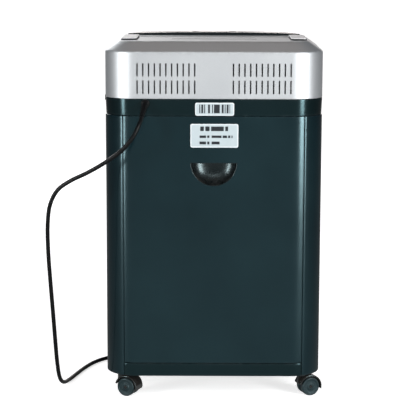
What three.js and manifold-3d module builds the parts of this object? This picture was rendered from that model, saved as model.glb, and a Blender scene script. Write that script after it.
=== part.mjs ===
// Paper shredder on twin-wheel castors, in millimetres, +Z up, standing on z = 0.
// -Y is the front, where the bin pulls out; +Y is the rear, where the mains lead leaves.
import * as THREE from 'three';
import { mergeVertices } from 'three/addons/utils/BufferGeometryUtils.js';
import Module from 'manifold-3d';

const wasm = await Module();
wasm.setup();

// ---- Driving dimensions -------------------------------------------------------------------

// Casing
const bodyWidth = 340;
const bodyDepth = 250;
const cornerRadius = 50;
const castorHeight = 40;        // floor to the underside of the cabinet
const cabinetHeight = 413.5;
const bandHeight = 26.5;        // black band between the cabinet and the hood
const bandTaper = 1.2;          // how much narrower the band's lower edge is, each side
const hoodHeight = 87;
const chamferRise = 15;
const chamferInset = 22;
const wall = 3;
const joint = 0.3;              // gap between two pieces that touch
const seamHalfWidth = 141;      // from the middle to the seams beside the rear panel and the bin front
const plinthHeight = 21;
const baseThickness = 6;
const rearPanelInset = 0.8;

// Finger scoops in the rear panel and the bin front
const scoopRadius = 36.4;
const scoopTop = cabinetHeight - 72.7;
const scoopDepth = 20;
const scoopWall = 2;

// Vents in the hood's rear face
const ventWidth = 2.2;
const ventPitch = 8.85;
const ventColumns = 11;
const ventFirst = 29.7;         // from the middle to the first slot
const ventRows = [[7.5, 28.7], [34.2, 54.8]];   // bottom and top of each row above the band

// Slots in the top, as distances in front of the rear face
const paperSlotWidth = 234;
const paperSlotOpening = 5;
const paperSlotBack = 145;
const discSlotWidth = 130;
const discSlotOpening = 5;
const discSlotBack = 86;
const throatWall = 2;
const throatDepth = 48;

// Side caps and control fascia on the top
const capWidth = 24;
const capLength = 97;
const capBack = 53;
const capHeight = 3.4;
const fasciaRise = 5.2;         // at the middle
const fasciaCrown = 2.4;         // how much lower it is at the seams
const fasciaBack = 187;
const fasciaDrop = 50;          // how far the fascia runs down the front, below the top
const fasciaWall = 2.6;
const buttonRadius = 7;
const buttonRise = 0.15;        // above the fascia
const buttonTravel = 1.5;
const buttonSpacing = 30;
const buttonGap = 0.4;
const lensRadius = 2.5;
const boardDrop = 19;           // below the top
const boardThickness = 1.6;

// Side switch
const bezelLength = 24;
const bezelHeight = 13.5;
const bezelRise = 2.4;
const rockerLength = 18;
const rockerHeight = 9.3;
const rockerTilt = THREE.MathUtils.degToRad(8);
const switchMiddle = 17.7;      // above the cabinet's top

// Cutting unit
const shaftSpacing = 40;
const cutOverlap = 4;           // how far the two shafts' discs reach past each other
const discRadius = (shaftSpacing + cutOverlap) / 2;
const spacerRadius = shaftSpacing - discRadius - 6;
const cutterPitch = 20;
const discWidth = 9;
const cutterLength = 226;
const shaftRadius = 6;
const bearingGap = 0.3;
const sidePlate = 3;
const unitLift = 38.5;          // shaft height above the cabinet's top
const tieBarRadius = 4;
const combThickness = 3;
const combGap = 0.6;

// Gear train: module in millimetres, teeth, face width
const timingTeeth = 12;
const timingGear = { module: shaftSpacing / timingTeeth, teeth: timingTeeth, width: 7 };
const finalGear = { module: 2, teeth: 32, width: 8 };
const clusterSmall = { module: 2, teeth: 11, width: 8 };
const clusterLarge = { module: 1.25, teeth: 40, width: 6 };
const motorPinion = { module: 1.25, teeth: 10, width: 6 };
const gearGap = 2;
const toothBacklash = 0.5;
const pressureAngle = THREE.MathUtils.degToRad(22);

// Motor
const motorRadius = 31;
const motorLength = 92;
const motorShaftRadius = 3;
const motorForward = 68;        // from the rear cutter shaft towards the rear
const motorLift = 14;           // above the cutter shafts
const clusterAxleRadius = 3;

// Bin
const binWall = 2;
const binRearGap = 27;          // from the casing's rear face to the bucket
const binTopGap = 14;           // under the head
const binFloorGap = 1.5;        // above the plinth, so that the bucket slides out over it
const runnerX = 108;            // from the middle to each runner that the bucket slides on
const runnerWidth = 12;
const binCorner = 14;
const binSideGap = 5;           // from the bin front's edge to the bucket's side
const drawerGap = 1;
const windowWidth = 64;
const windowHeight = 170;
const windowBottom = 95;        // above the cabinet's underside
const windowThickness = 2;

// Labels on the rear: width, height, and the bottom edge above the cabinet's underside
const serialLabel = { width: 60, height: 20, bottom: cabinetHeight + 0.9, middle: -1.2 };
const ratingLabel = { width: 74, height: 36.7, bottom: cabinetHeight - 48.7, middle: -0.85 };
const labelThickness = 0.4;

// Castors
const wheelRadius = 15;
const wheelWidth = 9;
const webWidth = 6;
const wheelGap = 0.4;
const castorTrail = 9.85;
const hoodClearance = 1.6;
const hoodThickness = 2.4;
const castorAxleRadius = 2.5;
const stemRadius = 4;
const stemLength = 17;
const stemGap = 0.3;
const castorEdgeX = 26;         // from the casing's side to the stem
const castorEdgeY = 37.5;       // from the front or rear face to the stem

// Mains lead
const cordRadius = 3.25;
const glandX = 105.5;
const glandDrop = 7.3;          // below the band's top edge
const reliefTopRadius = 5.5;
const reliefEndRadius = 4;
const collarDepth = 5;
const coilMiddle = [95, -186];
const coilRadius = 36;          // to the middle of the turns
const coilTurnsWide = 2;
const coilTurnsHigh = 2;
const plugLength = 38;
const plugWidth = 17;
const plugHeight = 12;
const pinRadius = 2;
const pinLength = 19;
const pinSpacing = 9;

// The lead's route from the strain relief to the coil, chosen by hand.
const cordRoute = [
  [110.3, 148, 454.7], [111.8, 153.6, 449.1], [115.6, 159.6, 440], [124.2, 163.6, 423.9],
  [140.5, 164, 404.6], [164.4, 161, 386.8], [192.9, 156, 369.6], [219.9, 150, 355.9],
  [240, 145, 341], [252.5, 139, 318], [257.5, 133, 286], [258, 126, 240], [256, 118, 190],
  [253.5, 110, 140], [251.5, 100, 92], [250, 88, 52], [248, 70, 22],
  [244, 46, 7.5], [237, 16, 3.7], [228, -20, 3.35], [217, -60, 3.35],
  [202, -98, 3.35], [182, -124.5, 3.35], [158, -138.5, 3.35], [136, -143.1, 3.35], [120.3, -143.5, 3.35],
];

// The stretch that leaves the coil's upper turn and lies down to the plug.
const tailRoute = [[69.7, -143.5, 9.85], [58, -143.5, 8.9], [46, -143.5, 7], [34, -143.5, 6.1]];

// ---- Places worked out from the dimensions --------------------------------------------------

const rear = bodyDepth / 2;
const front = -rear;
const side = bodyWidth / 2;
const baseZ = castorHeight;
const bandZ = baseZ + cabinetHeight;
const hoodZ = bandZ + bandHeight;
const topZ = hoodZ + hoodHeight;
const plinthZ = baseZ + plinthHeight;
const shaftZ = bandZ + unitLift;
const paperSlotY = rear - paperSlotBack;
const discSlotY = rear - discSlotBack;
const rearShaftY = paperSlotY + shaftSpacing / 2;
const frontShaftY = paperSlotY - shaftSpacing / 2;
const fasciaY = rear - fasciaBack;
const plateX = cutterLength / 2 + 6;
const plateOuterX = plateX + sidePlate;
const bandInsideZ = bandZ + wall;
const boardZ = topZ - boardDrop;

// ---- Solids -----------------------------------------------------------------------------------

function solid(geometry) {
  const bare = geometry.index ? geometry.toNonIndexed() : geometry.clone();
  for (const name of Object.keys(bare.attributes)) {
    if (name !== 'position') bare.deleteAttribute(name);
  }
  const merged = mergeVertices(bare, 1e-4);
  const positions = merged.attributes.position.array;
  const triangles = new Uint32Array(merged.index.array);
  if (signedVolume(positions, triangles) < 0) {
    for (let i = 0; i < triangles.length; i += 3) {
      [triangles[i], triangles[i + 1]] = [triangles[i + 1], triangles[i]];
    }
  }
  return new wasm.Manifold(
    new wasm.Mesh({ numProp: 3, vertProperties: positions, triVerts: triangles }));
}

function signedVolume(positions, triangles) {
  const corner = [new THREE.Vector3(), new THREE.Vector3(), new THREE.Vector3()];
  let volume = 0;
  for (let i = 0; i < triangles.length; i += 3) {
    for (let k = 0; k < 3; k++) corner[k].fromArray(positions, triangles[i + k] * 3);
    volume += corner[0].dot(corner[1].clone().cross(corner[2])) / 6;
  }
  return volume;
}

function geometryOf(manifold) {
  const mesh = manifold.getMesh();
  const geometry = new THREE.BufferGeometry();
  geometry.setAttribute('position', new THREE.BufferAttribute(mesh.vertProperties, 3));
  geometry.setIndex(new THREE.BufferAttribute(mesh.triVerts, 1));
  geometry.computeVertexNormals();
  return geometry;
}

function joined(solids) {
  return solids.reduce((sum, part) => sum.add(part));
}

// A box between two opposite corners.
function box(low, high) {
  const size = high.map((value, i) => value - low[i]);
  const middle = high.map((value, i) => (value + low[i]) / 2);
  return solid(new THREE.BoxGeometry(...size).translate(...middle));
}

// A shape drawn in (x, y) raised from z0 to z1.
function raised(shape, z0, z1, curveSegments = 6) {
  const options = { depth: z1 - z0, bevelEnabled: false, curveSegments };
  return solid(new THREE.ExtrudeGeometry(shape, options).translate(0, 0, z0));
}

// A shape drawn in (y, z) carried along X from x0 to x1.
function alongX(shape, x0, x1, curveSegments = 8) {
  const options = { depth: x1 - x0, bevelEnabled: false, curveSegments };
  const basis = new THREE.Matrix4().makeBasis(
    new THREE.Vector3(0, 1, 0), new THREE.Vector3(0, 0, 1), new THREE.Vector3(1, 0, 0));
  return solid(new THREE.ExtrudeGeometry(shape, options).applyMatrix4(basis).translate(x0, 0, 0));
}

// A shape drawn in (x, z) carried along Y from y0 to y1.
function alongY(shape, y0, y1, curveSegments = 8) {
  const options = { depth: y1 - y0, bevelEnabled: false, curveSegments };
  const basis = new THREE.Matrix4().makeBasis(
    new THREE.Vector3(1, 0, 0), new THREE.Vector3(0, 0, 1), new THREE.Vector3(0, -1, 0));
  return solid(new THREE.ExtrudeGeometry(shape, options).applyMatrix4(basis).translate(0, y1, 0));
}

// A cylinder or cone between two points.
function rod(from, to, radius, endRadius = radius, sides = 12) {
  const a = new THREE.Vector3(...from);
  const b = new THREE.Vector3(...to);
  const turn = new THREE.Quaternion().setFromUnitVectors(
    new THREE.Vector3(0, 1, 0), b.clone().sub(a).normalize());
  const middle = a.clone().add(b).multiplyScalar(0.5);
  const geometry = new THREE.CylinderGeometry(endRadius, radius, a.distanceTo(b), sides);
  return solid(geometry.applyQuaternion(turn).translate(middle.x, middle.y, middle.z));
}

// A profile of [radius, x] points turned about the X axis through (y, z).
function turnedAboutX(profile, y, z, sides = 12) {
  const points = profile.map(([radius, x]) => new THREE.Vector2(radius, x));
  const geometry = new THREE.LatheGeometry(points, sides).rotateZ(-Math.PI / 2);
  return solid(geometry.translate(0, y, z));
}

function roundedRectangle(x0, y0, x1, y1, radius) {
  const shape = new THREE.Shape();
  shape.moveTo(x0 + radius, y0);
  shape.lineTo(x1 - radius, y0);
  shape.absarc(x1 - radius, y0 + radius, radius, -Math.PI / 2, 0);
  shape.lineTo(x1, y1 - radius);
  shape.absarc(x1 - radius, y1 - radius, radius, 0, Math.PI / 2);
  shape.lineTo(x0 + radius, y1);
  shape.absarc(x0 + radius, y1 - radius, radius, Math.PI / 2, Math.PI);
  shape.lineTo(x0, y0 + radius);
  shape.absarc(x0 + radius, y0 + radius, radius, Math.PI, Math.PI * 1.5);
  return shape;
}

function polygon(points) {
  return new THREE.Shape(points.map(([x, y]) => new THREE.Vector2(x, y)));
}

function circle(x, y, radius) {
  return new THREE.Shape().absarc(x, y, radius, 0, Math.PI * 2);
}

// The casing's plan outline, moved inwards by an inset.
function casingOutline(inset = 0) {
  return roundedRectangle(
    -side + inset, front + inset, side - inset, rear - inset, cornerRadius - inset);
}

// The casing's outline raised between two heights, narrowing by topInset over the last topRise
// and by footInset over the first footRise.
function casingBlock(inset, z0, z1, { topRise = 0, topInset = 0, footRise = 0, footInset = 0 }) {
  const rise = topRise || footRise;
  const bevel = topInset || footInset;
  const geometry = new THREE.ExtrudeGeometry(casingOutline(inset), {
    depth: z1 - z0 - rise, curveSegments: 6,
    bevelThickness: rise, bevelSize: bevel, bevelOffset: -bevel, bevelSegments: 1,
  });
  const low = topRise ? z0 : z0 + rise;
  const whole = solid(geometry.translate(0, 0, low));
  const reach = bodyWidth + bodyDepth;
  return whole.intersect(box([-reach, -reach, z0], [reach, reach, z1]));
}

// A wall that follows the casing's outline, from an outer inset, of a thickness, between heights.
function casingWall(inset, thickness, z0, z1) {
  return raised(casingOutline(inset), z0, z1)
    .subtract(raised(casingOutline(inset + thickness), z0 - 1, z1 + 1));
}

// ---- Casing -----------------------------------------------------------------------------------

const stems = [
  { name: 'rear_right', x: side - castorEdgeX, y: rear - castorEdgeY, trail: 156 },
  { name: 'rear_left', x: -side + castorEdgeX, y: rear - castorEdgeY, trail: 200 },
  { name: 'front_right', x: side - castorEdgeX, y: front + castorEdgeY, trail: 172 },
  { name: 'front_left', x: -side + castorEdgeX, y: front + castorEdgeY, trail: 14 },
];

function baseTray() {
  const plate = raised(casingOutline(wall + joint), baseZ, baseZ + baseThickness);
  const skirt = casingWall(0, wall + joint + 2, baseZ, plinthZ - joint).intersect(
    box([-seamHalfWidth + joint, front - 1, baseZ - 1], [seamHalfWidth - joint, rear + 1, plinthZ]));
  let tray = plate.add(skirt);
  for (const sign of [-1, 1]) {
    const middle = sign * runnerX;
    tray = tray.add(box(
      [middle - runnerWidth / 2, front + wall + 4, baseZ + 1],
      [middle + runnerWidth / 2, rear - wall - 4, binFloorZ - joint]));
  }
  const bossTop = baseZ + stemLength + 3;
  for (const stem of stems) {
    tray = tray.add(rod([stem.x, stem.y, baseZ], [stem.x, stem.y, bossTop], stemRadius + 4));
  }
  for (const stem of stems) {
    tray = tray.subtract(
      rod([stem.x, stem.y, baseZ - 1], [stem.x, stem.y, bossTop + 1], stemRadius + stemGap));
  }
  return tray;
}

// A side panel wraps from seam to seam around one side; sign is +1 for +X.
function sidePanel(sign) {
  const ring = casingWall(0, wall, baseZ, bandZ - joint);
  const near = sign * seamHalfWidth;
  const far = sign * (side + 1);
  const low = [Math.min(near, far), front - 1, baseZ - 1];
  return ring.intersect(box(low, [Math.max(near, far), rear + 1, bandZ]));
}

// The half-moon outline of a finger scoop, flat side up, drawn in (x, z).
function scoopShape(grow = 0) {
  const radius = scoopRadius + grow;
  const top = baseZ + scoopTop + grow;
  const shape = new THREE.Shape();
  shape.moveTo(radius, top);
  shape.absarc(0, top - grow, radius, 0, -Math.PI, true);
  shape.lineTo(-radius, top);
  return shape;
}

// The scoop's hollow: a quarter of an ellipsoid under a flat ceiling; sign is +1 at the rear.
function scoopHollow(face, sign) {
  const ball = new THREE.SphereGeometry(1, 24, 16);
  ball.scale(scoopRadius, scoopDepth, scoopRadius).translate(0, face, baseZ + scoopTop);
  const reach = scoopRadius + 1;
  const ceiling = box([-reach, -rear - reach, baseZ + scoopTop], [reach, rear + reach, bandZ]);
  const mouth = alongY(scoopShape(), Math.min(face, face + sign * 5), Math.max(face, face + sign * 5));
  return solid(ball).add(mouth).subtract(ceiling);
}

// The cup stands behind its panel: face is the panel's inner surface, sign +1 at the rear.
function gripCup(face, sign) {
  const deep = face - sign * (scoopDepth + scoopWall);
  const block = alongY(scoopShape(scoopWall), Math.min(face, deep), Math.max(face, deep), 12);
  return block.subtract(scoopHollow(face, sign));
}

function rearPanel() {
  const low = [-seamHalfWidth + joint, 0, plinthZ];
  const high = [seamHalfWidth - joint, rear + 1, bandZ - joint];
  const panel = casingWall(rearPanelInset, wall, plinthZ, bandZ - joint).intersect(box(low, high));
  return panel.subtract(alongY(scoopShape(), rear - 3 * wall, rear + 1, 12));
}

const headOpening = {
  x0: -cutterLength / 2 + 2, x1: cutterLength / 2 - 2,
  y0: frontShaftY - discRadius - 2, y1: rearShaftY + discRadius + 2,
};

// The gland's seat in the band's rear wall, and the direction of the strain relief.
const glandMiddle = [glandX, rear, hoodZ - glandDrop];

function headBase() {
  const outer = casingBlock(0, bandZ, hoodZ - joint, { footRise: bandHeight, footInset: bandTaper });
  const inner = casingBlock(wall + bandTaper, bandInsideZ, hoodZ + 1, { topRise: 0.01, topInset: 0.01 });
  const chute = box(
    [headOpening.x0, headOpening.y0, bandZ - 1], [headOpening.x1, headOpening.y1, bandInsideZ + 1]);
  const glandHole = rod(
    [glandX, rear - 2 * wall, glandMiddle[2]], [glandX, rear + 2, glandMiddle[2]],
    reliefTopRadius - 0.5 + joint);
  const half = [bezelLength / 2 - 2 + joint, bezelHeight / 2 - 2 + joint];
  const switchZ = bandZ + switchMiddle;
  const switchHole = box(
    [side - 3 * wall, -half[0], switchZ - half[1]], [side + 1, half[0], switchZ + half[1]]);
  return outer.subtract(inner).subtract(chute).subtract(glandHole).subtract(switchHole);
}

// ---- Hood --------------------------------------------------------------------------------------

// The outline of a cap in plan; sign is +1 for +X.
function capShape(sign, grow = 0) {
  const inner = chamferEdge() - 3 - capWidth - grow;
  const outer = chamferEdge() - 3 + grow;
  const y1 = rear - capBack + grow;
  const y0 = rear - capBack - capLength - grow;
  const [x0, x1] = sign > 0 ? [inner, outer] : [-outer, -inner];
  return roundedRectangle(x0, y0, x1, y1, 4 + grow);
}

function chamferEdge() {
  return side - chamferInset;
}

// The fascia's outer profile in (y, z): over the top, down the chamfer and down the front.
function fasciaProfile(inset) {
  const proud = fasciaRise - inset;
  const frontEdge = front + inset;
  const bottom = topZ - fasciaDrop + inset;
  return [
    [fasciaY - inset, topZ + proud],
    [front + chamferInset, topZ + proud],
    [frontEdge, topZ - chamferRise + proud],
    [frontEdge, bottom],
  ];
}

const fasciaSeat = 4.5;         // how deep the fascia's edge sits into the hood

// The fascia's plan: as wide as the seams at its back edge, narrowing to the straight part of the front.
function fasciaPlan(grow) {
  const back = seamHalfWidth + grow;
  const narrow = side - cornerRadius - 2 + grow;
  const points = [
    [back, fasciaY + grow], [narrow, front + chamferInset], [narrow, front - 1],
    [-narrow, front - 1], [-narrow, front + chamferInset], [-back, fasciaY + grow],
  ];
  return raised(polygon(points), topZ - fasciaDrop - 2, topZ + fasciaRise + 2);
}

// A block whose top is crowned from side to side.
function crownedBlock(grow) {
  const low = topZ - fasciaDrop - 2;
  const steps = 14;
  const points = [[-side, low], [side, low]];
  for (let i = steps; i >= 0; i--) {
    const x = side * ((2 * i) / steps - 1);
    points.push([x, topZ + fasciaRise + grow - fasciaCrown * (x / seamHalfWidth) ** 2]);
  }
  return alongY(polygon(points), front - 2, fasciaY + 2);
}

function fasciaBlock(grow) {
  const outer = fasciaProfile(-grow);
  const inner = [
    [front + fasciaSeat + grow, topZ - fasciaDrop - grow],
    [front + fasciaSeat + grow, topZ - chamferRise - fasciaSeat / 2 - grow],
    [front + chamferInset + 2, topZ - fasciaSeat - grow],
    [fasciaY + grow, topZ - fasciaSeat - grow],
  ];
  return alongX(polygon([...outer, ...inner]), -side, side)
    .intersect(fasciaPlan(grow))
    .intersect(crownedBlock(grow));
}

function topCover() {
  const outer = casingBlock(0, hoodZ, topZ, { topRise: chamferRise, topInset: chamferInset });
  const innerRise = { topRise: chamferRise, topInset: chamferInset };
  let cover = outer.subtract(casingBlock(wall, hoodZ - chamferRise, topZ - wall, innerRise));
  for (const [low, high] of ventRows) {
    for (let column = 0; column < ventColumns; column++) {
      for (const sign of [-1, 1]) {
        const x = sign * (ventFirst + column * ventPitch);
        const half = ventWidth / 2;
        cover = cover.subtract(
          box([x - half, rear - 2 * wall, hoodZ + low], [x + half, rear + 1, hoodZ + high]));
      }
    }
  }
  cover = cover.subtract(throatOpening(paperSlotY, paperSlotWidth, paperSlotOpening));
  cover = cover.subtract(throatOpening(discSlotY, discSlotWidth, discSlotOpening));
  for (const sign of [-1, 1]) {
    cover = cover.subtract(raised(capShape(sign, 1.2), topZ - wall / 2, topZ + 1, 4));
  }
  return cover.subtract(fasciaBlock(joint));
}

function throatOpening(y, width, opening) {
  const halfX = width / 2 + throatWall + joint;
  const halfY = opening / 2 + throatWall + joint;
  return box([-halfX, y - halfY, topZ - 2 * wall], [halfX, y + halfY, topZ + 1]);
}

// A slot insert: a rectangular tube under a slot, its lower end moved by lean towards the front.
function throat(y, width, opening, depth, lean) {
  const halfY = opening / 2;
  const upper = topZ - 0.2;
  const lower = topZ - depth;
  const straight = topZ - wall - 2;
  const outer = [
    [y - halfY - throatWall, upper], [y - halfY - throatWall, straight],
    [y - lean - halfY - throatWall, lower], [y - lean + halfY + throatWall, lower],
    [y + halfY + throatWall, straight], [y + halfY + throatWall, upper],
  ];
  const inner = [
    [y - halfY, upper + 1], [y - halfY, straight - throatWall],
    [y - lean - halfY, lower - 1], [y - lean + halfY, lower - 1],
    [y + halfY, straight - throatWall], [y + halfY, upper + 1],
  ];
  return alongX(polygon(outer), -width / 2 - throatWall, width / 2 + throatWall)
    .subtract(alongX(polygon(inner), -width / 2, width / 2));
}

function fascia() {
  const hollow = fasciaProfile(fasciaWall).concat([
    [front + fasciaWall, topZ - fasciaDrop - 1],
    [front + fasciaSeat + 1, topZ - fasciaDrop - 1],
    [front + fasciaSeat + 1, topZ - chamferRise - fasciaSeat],
    [front + chamferInset + 3, topZ - fasciaSeat - 1],
    [fasciaY - fasciaWall, topZ - fasciaSeat - 1],
  ]);
  let panel = fasciaBlock(0).subtract(
    alongX(polygon(hollow), -side, side)
      .intersect(fasciaPlan(-fasciaWall))
      .intersect(crownedBlock(-fasciaWall)));
  for (const place of buttonPlaces) {
    panel = panel.subtract(
      rod([place.x, buttonY, topZ - 9], [place.x, buttonY, topZ + 9], buttonRadius + buttonGap));
  }
  return panel.subtract(
    rod([0, buttonY, topZ - 9], [0, buttonY, topZ + 9], lensRadius + joint, lensRadius + joint, 12));
}

const buttonY = fasciaY - 20;
const buttonPlaces = [
  { name: 'reverse_button', x: -buttonSpacing },
  { name: 'forward_button', x: buttonSpacing },
];

// A button's cap passes through the fascia, its flange stops under it, and its stem reaches the board.
function button(x) {
  const under = topZ + fasciaRise - fasciaWall - joint;
  const cap = rod([x, buttonY, under - 1], [x, buttonY, topZ + fasciaRise + buttonRise], buttonRadius);
  const flange = rod([x, buttonY, under - 2], [x, buttonY, under], buttonRadius + 1.4);
  const stemFoot = boardZ + boardThickness + buttonTravel + 1;
  return joined([cap, flange, rod([x, buttonY, stemFoot], [x, buttonY, under - 1.5], 2, 2, 8)]);
}

function sideCap(sign) {
  return raised(capShape(sign), topZ - wall / 2 + joint, topZ + capHeight, 4);
}

// ---- Side switch -------------------------------------------------------------------------------

function switchBezel() {
  const middle = bandZ + switchMiddle;
  const outer = [bezelLength / 2, bezelHeight / 2];
  const flange = alongX(
    roundedRectangle(-outer[0], middle - outer[1], outer[0], middle + outer[1], 2),
    side + joint, side + bezelRise, 3);
  const half = [outer[0] - 2, outer[1] - 2];
  const neck = box([side - 9, -half[0], middle - half[1]], [side + 1, half[0], middle + half[1]]);
  const bore = [rockerLength / 2 + 0.5, rockerHeight / 2 + 0.35];
  const hole = box([side - 7.5, -bore[0], middle - bore[1]], [side + 5, bore[0], middle + bore[1]]);
  return flange.add(neck).subtract(hole);
}

const rockerAxis = [side - 1, 0, bandZ + switchMiddle];

function rocker() {
  const half = rockerLength / 2;
  const profile = new THREE.Shape();
  profile.moveTo(-3.4, -half + 2.6);
  profile.lineTo(5.4, -half + 0.3);
  profile.quadraticCurveTo(3.6, 0, 5.4, half - 0.3);
  profile.lineTo(-3.4, half - 2.6);
  const geometry = new THREE.ExtrudeGeometry(
    profile, { depth: rockerHeight - 0.6, bevelEnabled: false, curveSegments: 6 });
  geometry.translate(0, 0, -(rockerHeight - 0.6) / 2).rotateZ(-rockerTilt);
  return solid(geometry.translate(...rockerAxis));
}

// ---- Cutting unit ------------------------------------------------------------------------------

function sidePlateSolid(x0, reachRear) {
  const low = bandInsideZ + joint;
  const high = shaftZ + discRadius + 4;
  const y0 = frontShaftY - discRadius - 8;
  const y1 = rearShaftY + discRadius + 3 + reachRear;
  const shape = polygon([[y0, low], [y1, low], [y1, high + (reachRear ? 20 : 0)],
    [rearShaftY + discRadius, high], [y0 + 10, high], [y0, high - 10]]);
  let plate = alongX(shape, x0, x0 + sidePlate);
  for (const y of [frontShaftY, rearShaftY]) {
    plate = plate.subtract(rod([x0 - 1, y, shaftZ], [x0 + sidePlate + 1, y, shaftZ], shaftRadius + bearingGap));
  }
  for (const bar of tieBars) {
    plate = plate.subtract(
      rod([x0 - 1, bar.y, bar.z], [x0 + sidePlate + 1, bar.y, bar.z], tieBarRadius + joint));
  }
  return plate;
}

const tieBars = [
  { name: 'tie_bar_front', y: frontShaftY - discRadius - 1.5, z: bandInsideZ + 8 },
  { name: 'tie_bar_rear', y: rearShaftY + discRadius + 1, z: shaftZ + discRadius - 5 },
];

const motorY = rearShaftY + motorForward;
const motorZ = shaftZ + motorLift;

function pitchRadius(gear) {
  return gear.module * gear.teeth / 2;
}

// The cluster gear's axle lies where both of its meshes have their proper centre distances.
const clusterPlace = meetingPoint(
  [rearShaftY, shaftZ], pitchRadius(finalGear) + pitchRadius(clusterSmall),
  [motorY, motorZ], pitchRadius(clusterLarge) + pitchRadius(motorPinion));

// The lower of the two points at distance a from p and b from q.
function meetingPoint(p, a, q, b) {
  const dy = q[0] - p[0];
  const dz = q[1] - p[1];
  const span = Math.hypot(dy, dz);
  const along = (span * span + a * a - b * b) / (2 * span);
  const off = Math.sqrt(Math.max(a * a - along * along, 0));
  return [p[0] + (along * dy + off * dz) / span, p[1] + (along * dz - off * dy) / span];
}

function sideOfMotorPlate() {
  let plate = sidePlateSolid(plateX, motorForward - discRadius + 16);
  plate = plate.subtract(
    rod([plateX - 1, motorY, motorZ], [plateOuterX + 1, motorY, motorZ], motorShaftRadius + 2));
  return plate.subtract(rod(
    [plateX - 1, ...clusterPlace], [plateOuterX + 1, ...clusterPlace], clusterAxleRadius + joint));
}

// Cutter profile along X: discs with spacers between them; phase shifts it by half a pitch.
function cutter(y, phase, tailX) {
  const half = cutterLength / 2;
  const profile = [[0, -plateOuterX - 3], [shaftRadius, -plateOuterX - 3]];
  profile.push([shaftRadius, -half - 1], [spacerRadius, -half - 1]);
  const first = -half + cutterPitch / 2 + phase;
  for (let x = first; x + discWidth / 2 < half; x += cutterPitch) {
    profile.push([spacerRadius, x - discWidth / 2], [discRadius, x - discWidth / 2]);
    profile.push([discRadius, x + discWidth / 2], [spacerRadius, x + discWidth / 2]);
  }
  profile.push([spacerRadius, half + 1], [shaftRadius, half + 1], [shaftRadius, tailX], [0, tailX]);
  return turnedAboutX(profile, y, shaftZ);
}

// A comb's fingers reach between the discs of one shaft; sign is -1 for the front shaft.
function stripperComb(y, phase, sign) {
  const half = cutterLength / 2;
  const back = y + sign * (discRadius + 7);
  const root = y + sign * (discRadius + 1.5);
  const tip = y + sign * (spacerRadius + 0.8);
  const finger = (cutterPitch - discWidth) / 2 - combGap;
  const points = [[-half, back], [-half, root]];
  const first = -half + cutterPitch + phase;
  for (let x = first; x + finger < half - 1; x += cutterPitch) {
    points.push([x - finger, root], [x - finger, tip], [x + finger, tip], [x + finger, root]);
  }
  points.push([half, root], [half, back]);
  return raised(polygon(points), shaftZ - combThickness / 2, shaftZ + combThickness / 2);
}

// Half of a tooth's angle at a radius, from the involute of the base circle.
function toothHalfAngle(gear, radius) {
  const pitch = pitchRadius(gear);
  const base = pitch * Math.cos(pressureAngle);
  const involute = (angle) => Math.tan(angle) - angle;
  const atRadius = Math.acos(Math.min(1, base / Math.max(radius, base)));
  const atPitch = Math.PI / (2 * gear.teeth) - toothBacklash / (2 * pitch);
  return atPitch + involute(pressureAngle) - involute(atRadius);
}

// A spur gear's outline about the origin, with a tooth centred on the angle start.
function gearShape(gear, start, bore) {
  const pitch = pitchRadius(gear);
  const radii = [pitch - 1.2 * gear.module, pitch + 0.8 * gear.module];
  if (gear.teeth < 20) radii.splice(1, 0, pitch);
  const points = [];
  for (let tooth = 0; tooth < gear.teeth; tooth++) {
    const middle = start + (tooth * 2 * Math.PI) / gear.teeth;
    const flank = radii.map((radius) => [radius, toothHalfAngle(gear, radius)]);
    const outline = [
      ...flank.map(([radius, half]) => [radius, middle - half]),
      ...flank.reverse().map(([radius, half]) => [radius, middle + half]),
    ];
    points.push(...outline.map(([radius, angle]) => [radius * Math.cos(angle), radius * Math.sin(angle)]));
  }
  const shape = polygon(points);
  if (bore) shape.holes.push(circle(0, 0, bore));
  return shape;
}

function gearSolid(gear, place, x0, start, bore) {
  const body = alongX(gearShape(gear, start, bore), x0, x0 + gear.width, 8);
  return body.translate([0, place[0], place[1]]);
}

function directionAngle(from, to) {
  return Math.atan2(to[1] - from[1], to[0] - from[0]);
}

const timingX = plateOuterX + gearGap;
const finalX = timingX + timingGear.width + gearGap;
const clusterLargeX = finalX + finalGear.width + gearGap;
const gearEndX = clusterLargeX + clusterLarge.width;
const rearShaftPlace = [rearShaftY, shaftZ];
const frontShaftPlace = [frontShaftY, shaftZ];
const motorPlace = [motorY, motorZ];

function clusterGear() {
  const toFinal = directionAngle(clusterPlace, rearShaftPlace);
  const toMotor = directionAngle(clusterPlace, motorPlace);
  const bore = clusterAxleRadius + bearingGap;
  const small = gearSolid(
    { ...clusterSmall, width: clusterSmall.width + gearGap }, clusterPlace, finalX,
    toFinal + Math.PI / clusterSmall.teeth, bore);
  return small.add(gearSolid(clusterLarge, clusterPlace, clusterLargeX, toMotor, bore));
}

function motorShaft() {
  const shaft = rod([plateX - 0.4, ...motorPlace], [gearEndX + 1, ...motorPlace], motorShaftRadius);
  const start = directionAngle(motorPlace, clusterPlace) + Math.PI / motorPinion.teeth;
  return shaft.add(gearSolid(motorPinion, motorPlace, clusterLargeX, start, 0));
}

function motorBody() {
  const end = plateX - 0.7;
  const start = end - motorLength;
  return turnedAboutX([
    [0, start - 7], [8, start - 7], [8, start], [motorRadius - 4, start], [motorRadius, start + 4],
    [motorRadius, end - 4], [motorRadius - 4, end], [0, end],
  ], motorY, motorZ, 24);
}

// The board lies under the buttons and carries one relay.
function controlBoard() {
  const plate = box([-60, buttonY - 25, boardZ], [60, buttonY + 12, boardZ + boardThickness]);
  return plate.add(box([-22, buttonY - 22, boardZ + 1], [-6, buttonY - 6, boardZ + 9]));
}

function binSensor() {
  const y = front + 30;
  return box([-92, y - 7, bandInsideZ + joint], [-68, y + 7, bandInsideZ + 10]);
}

// ---- Bin ---------------------------------------------------------------------------------------

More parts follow.
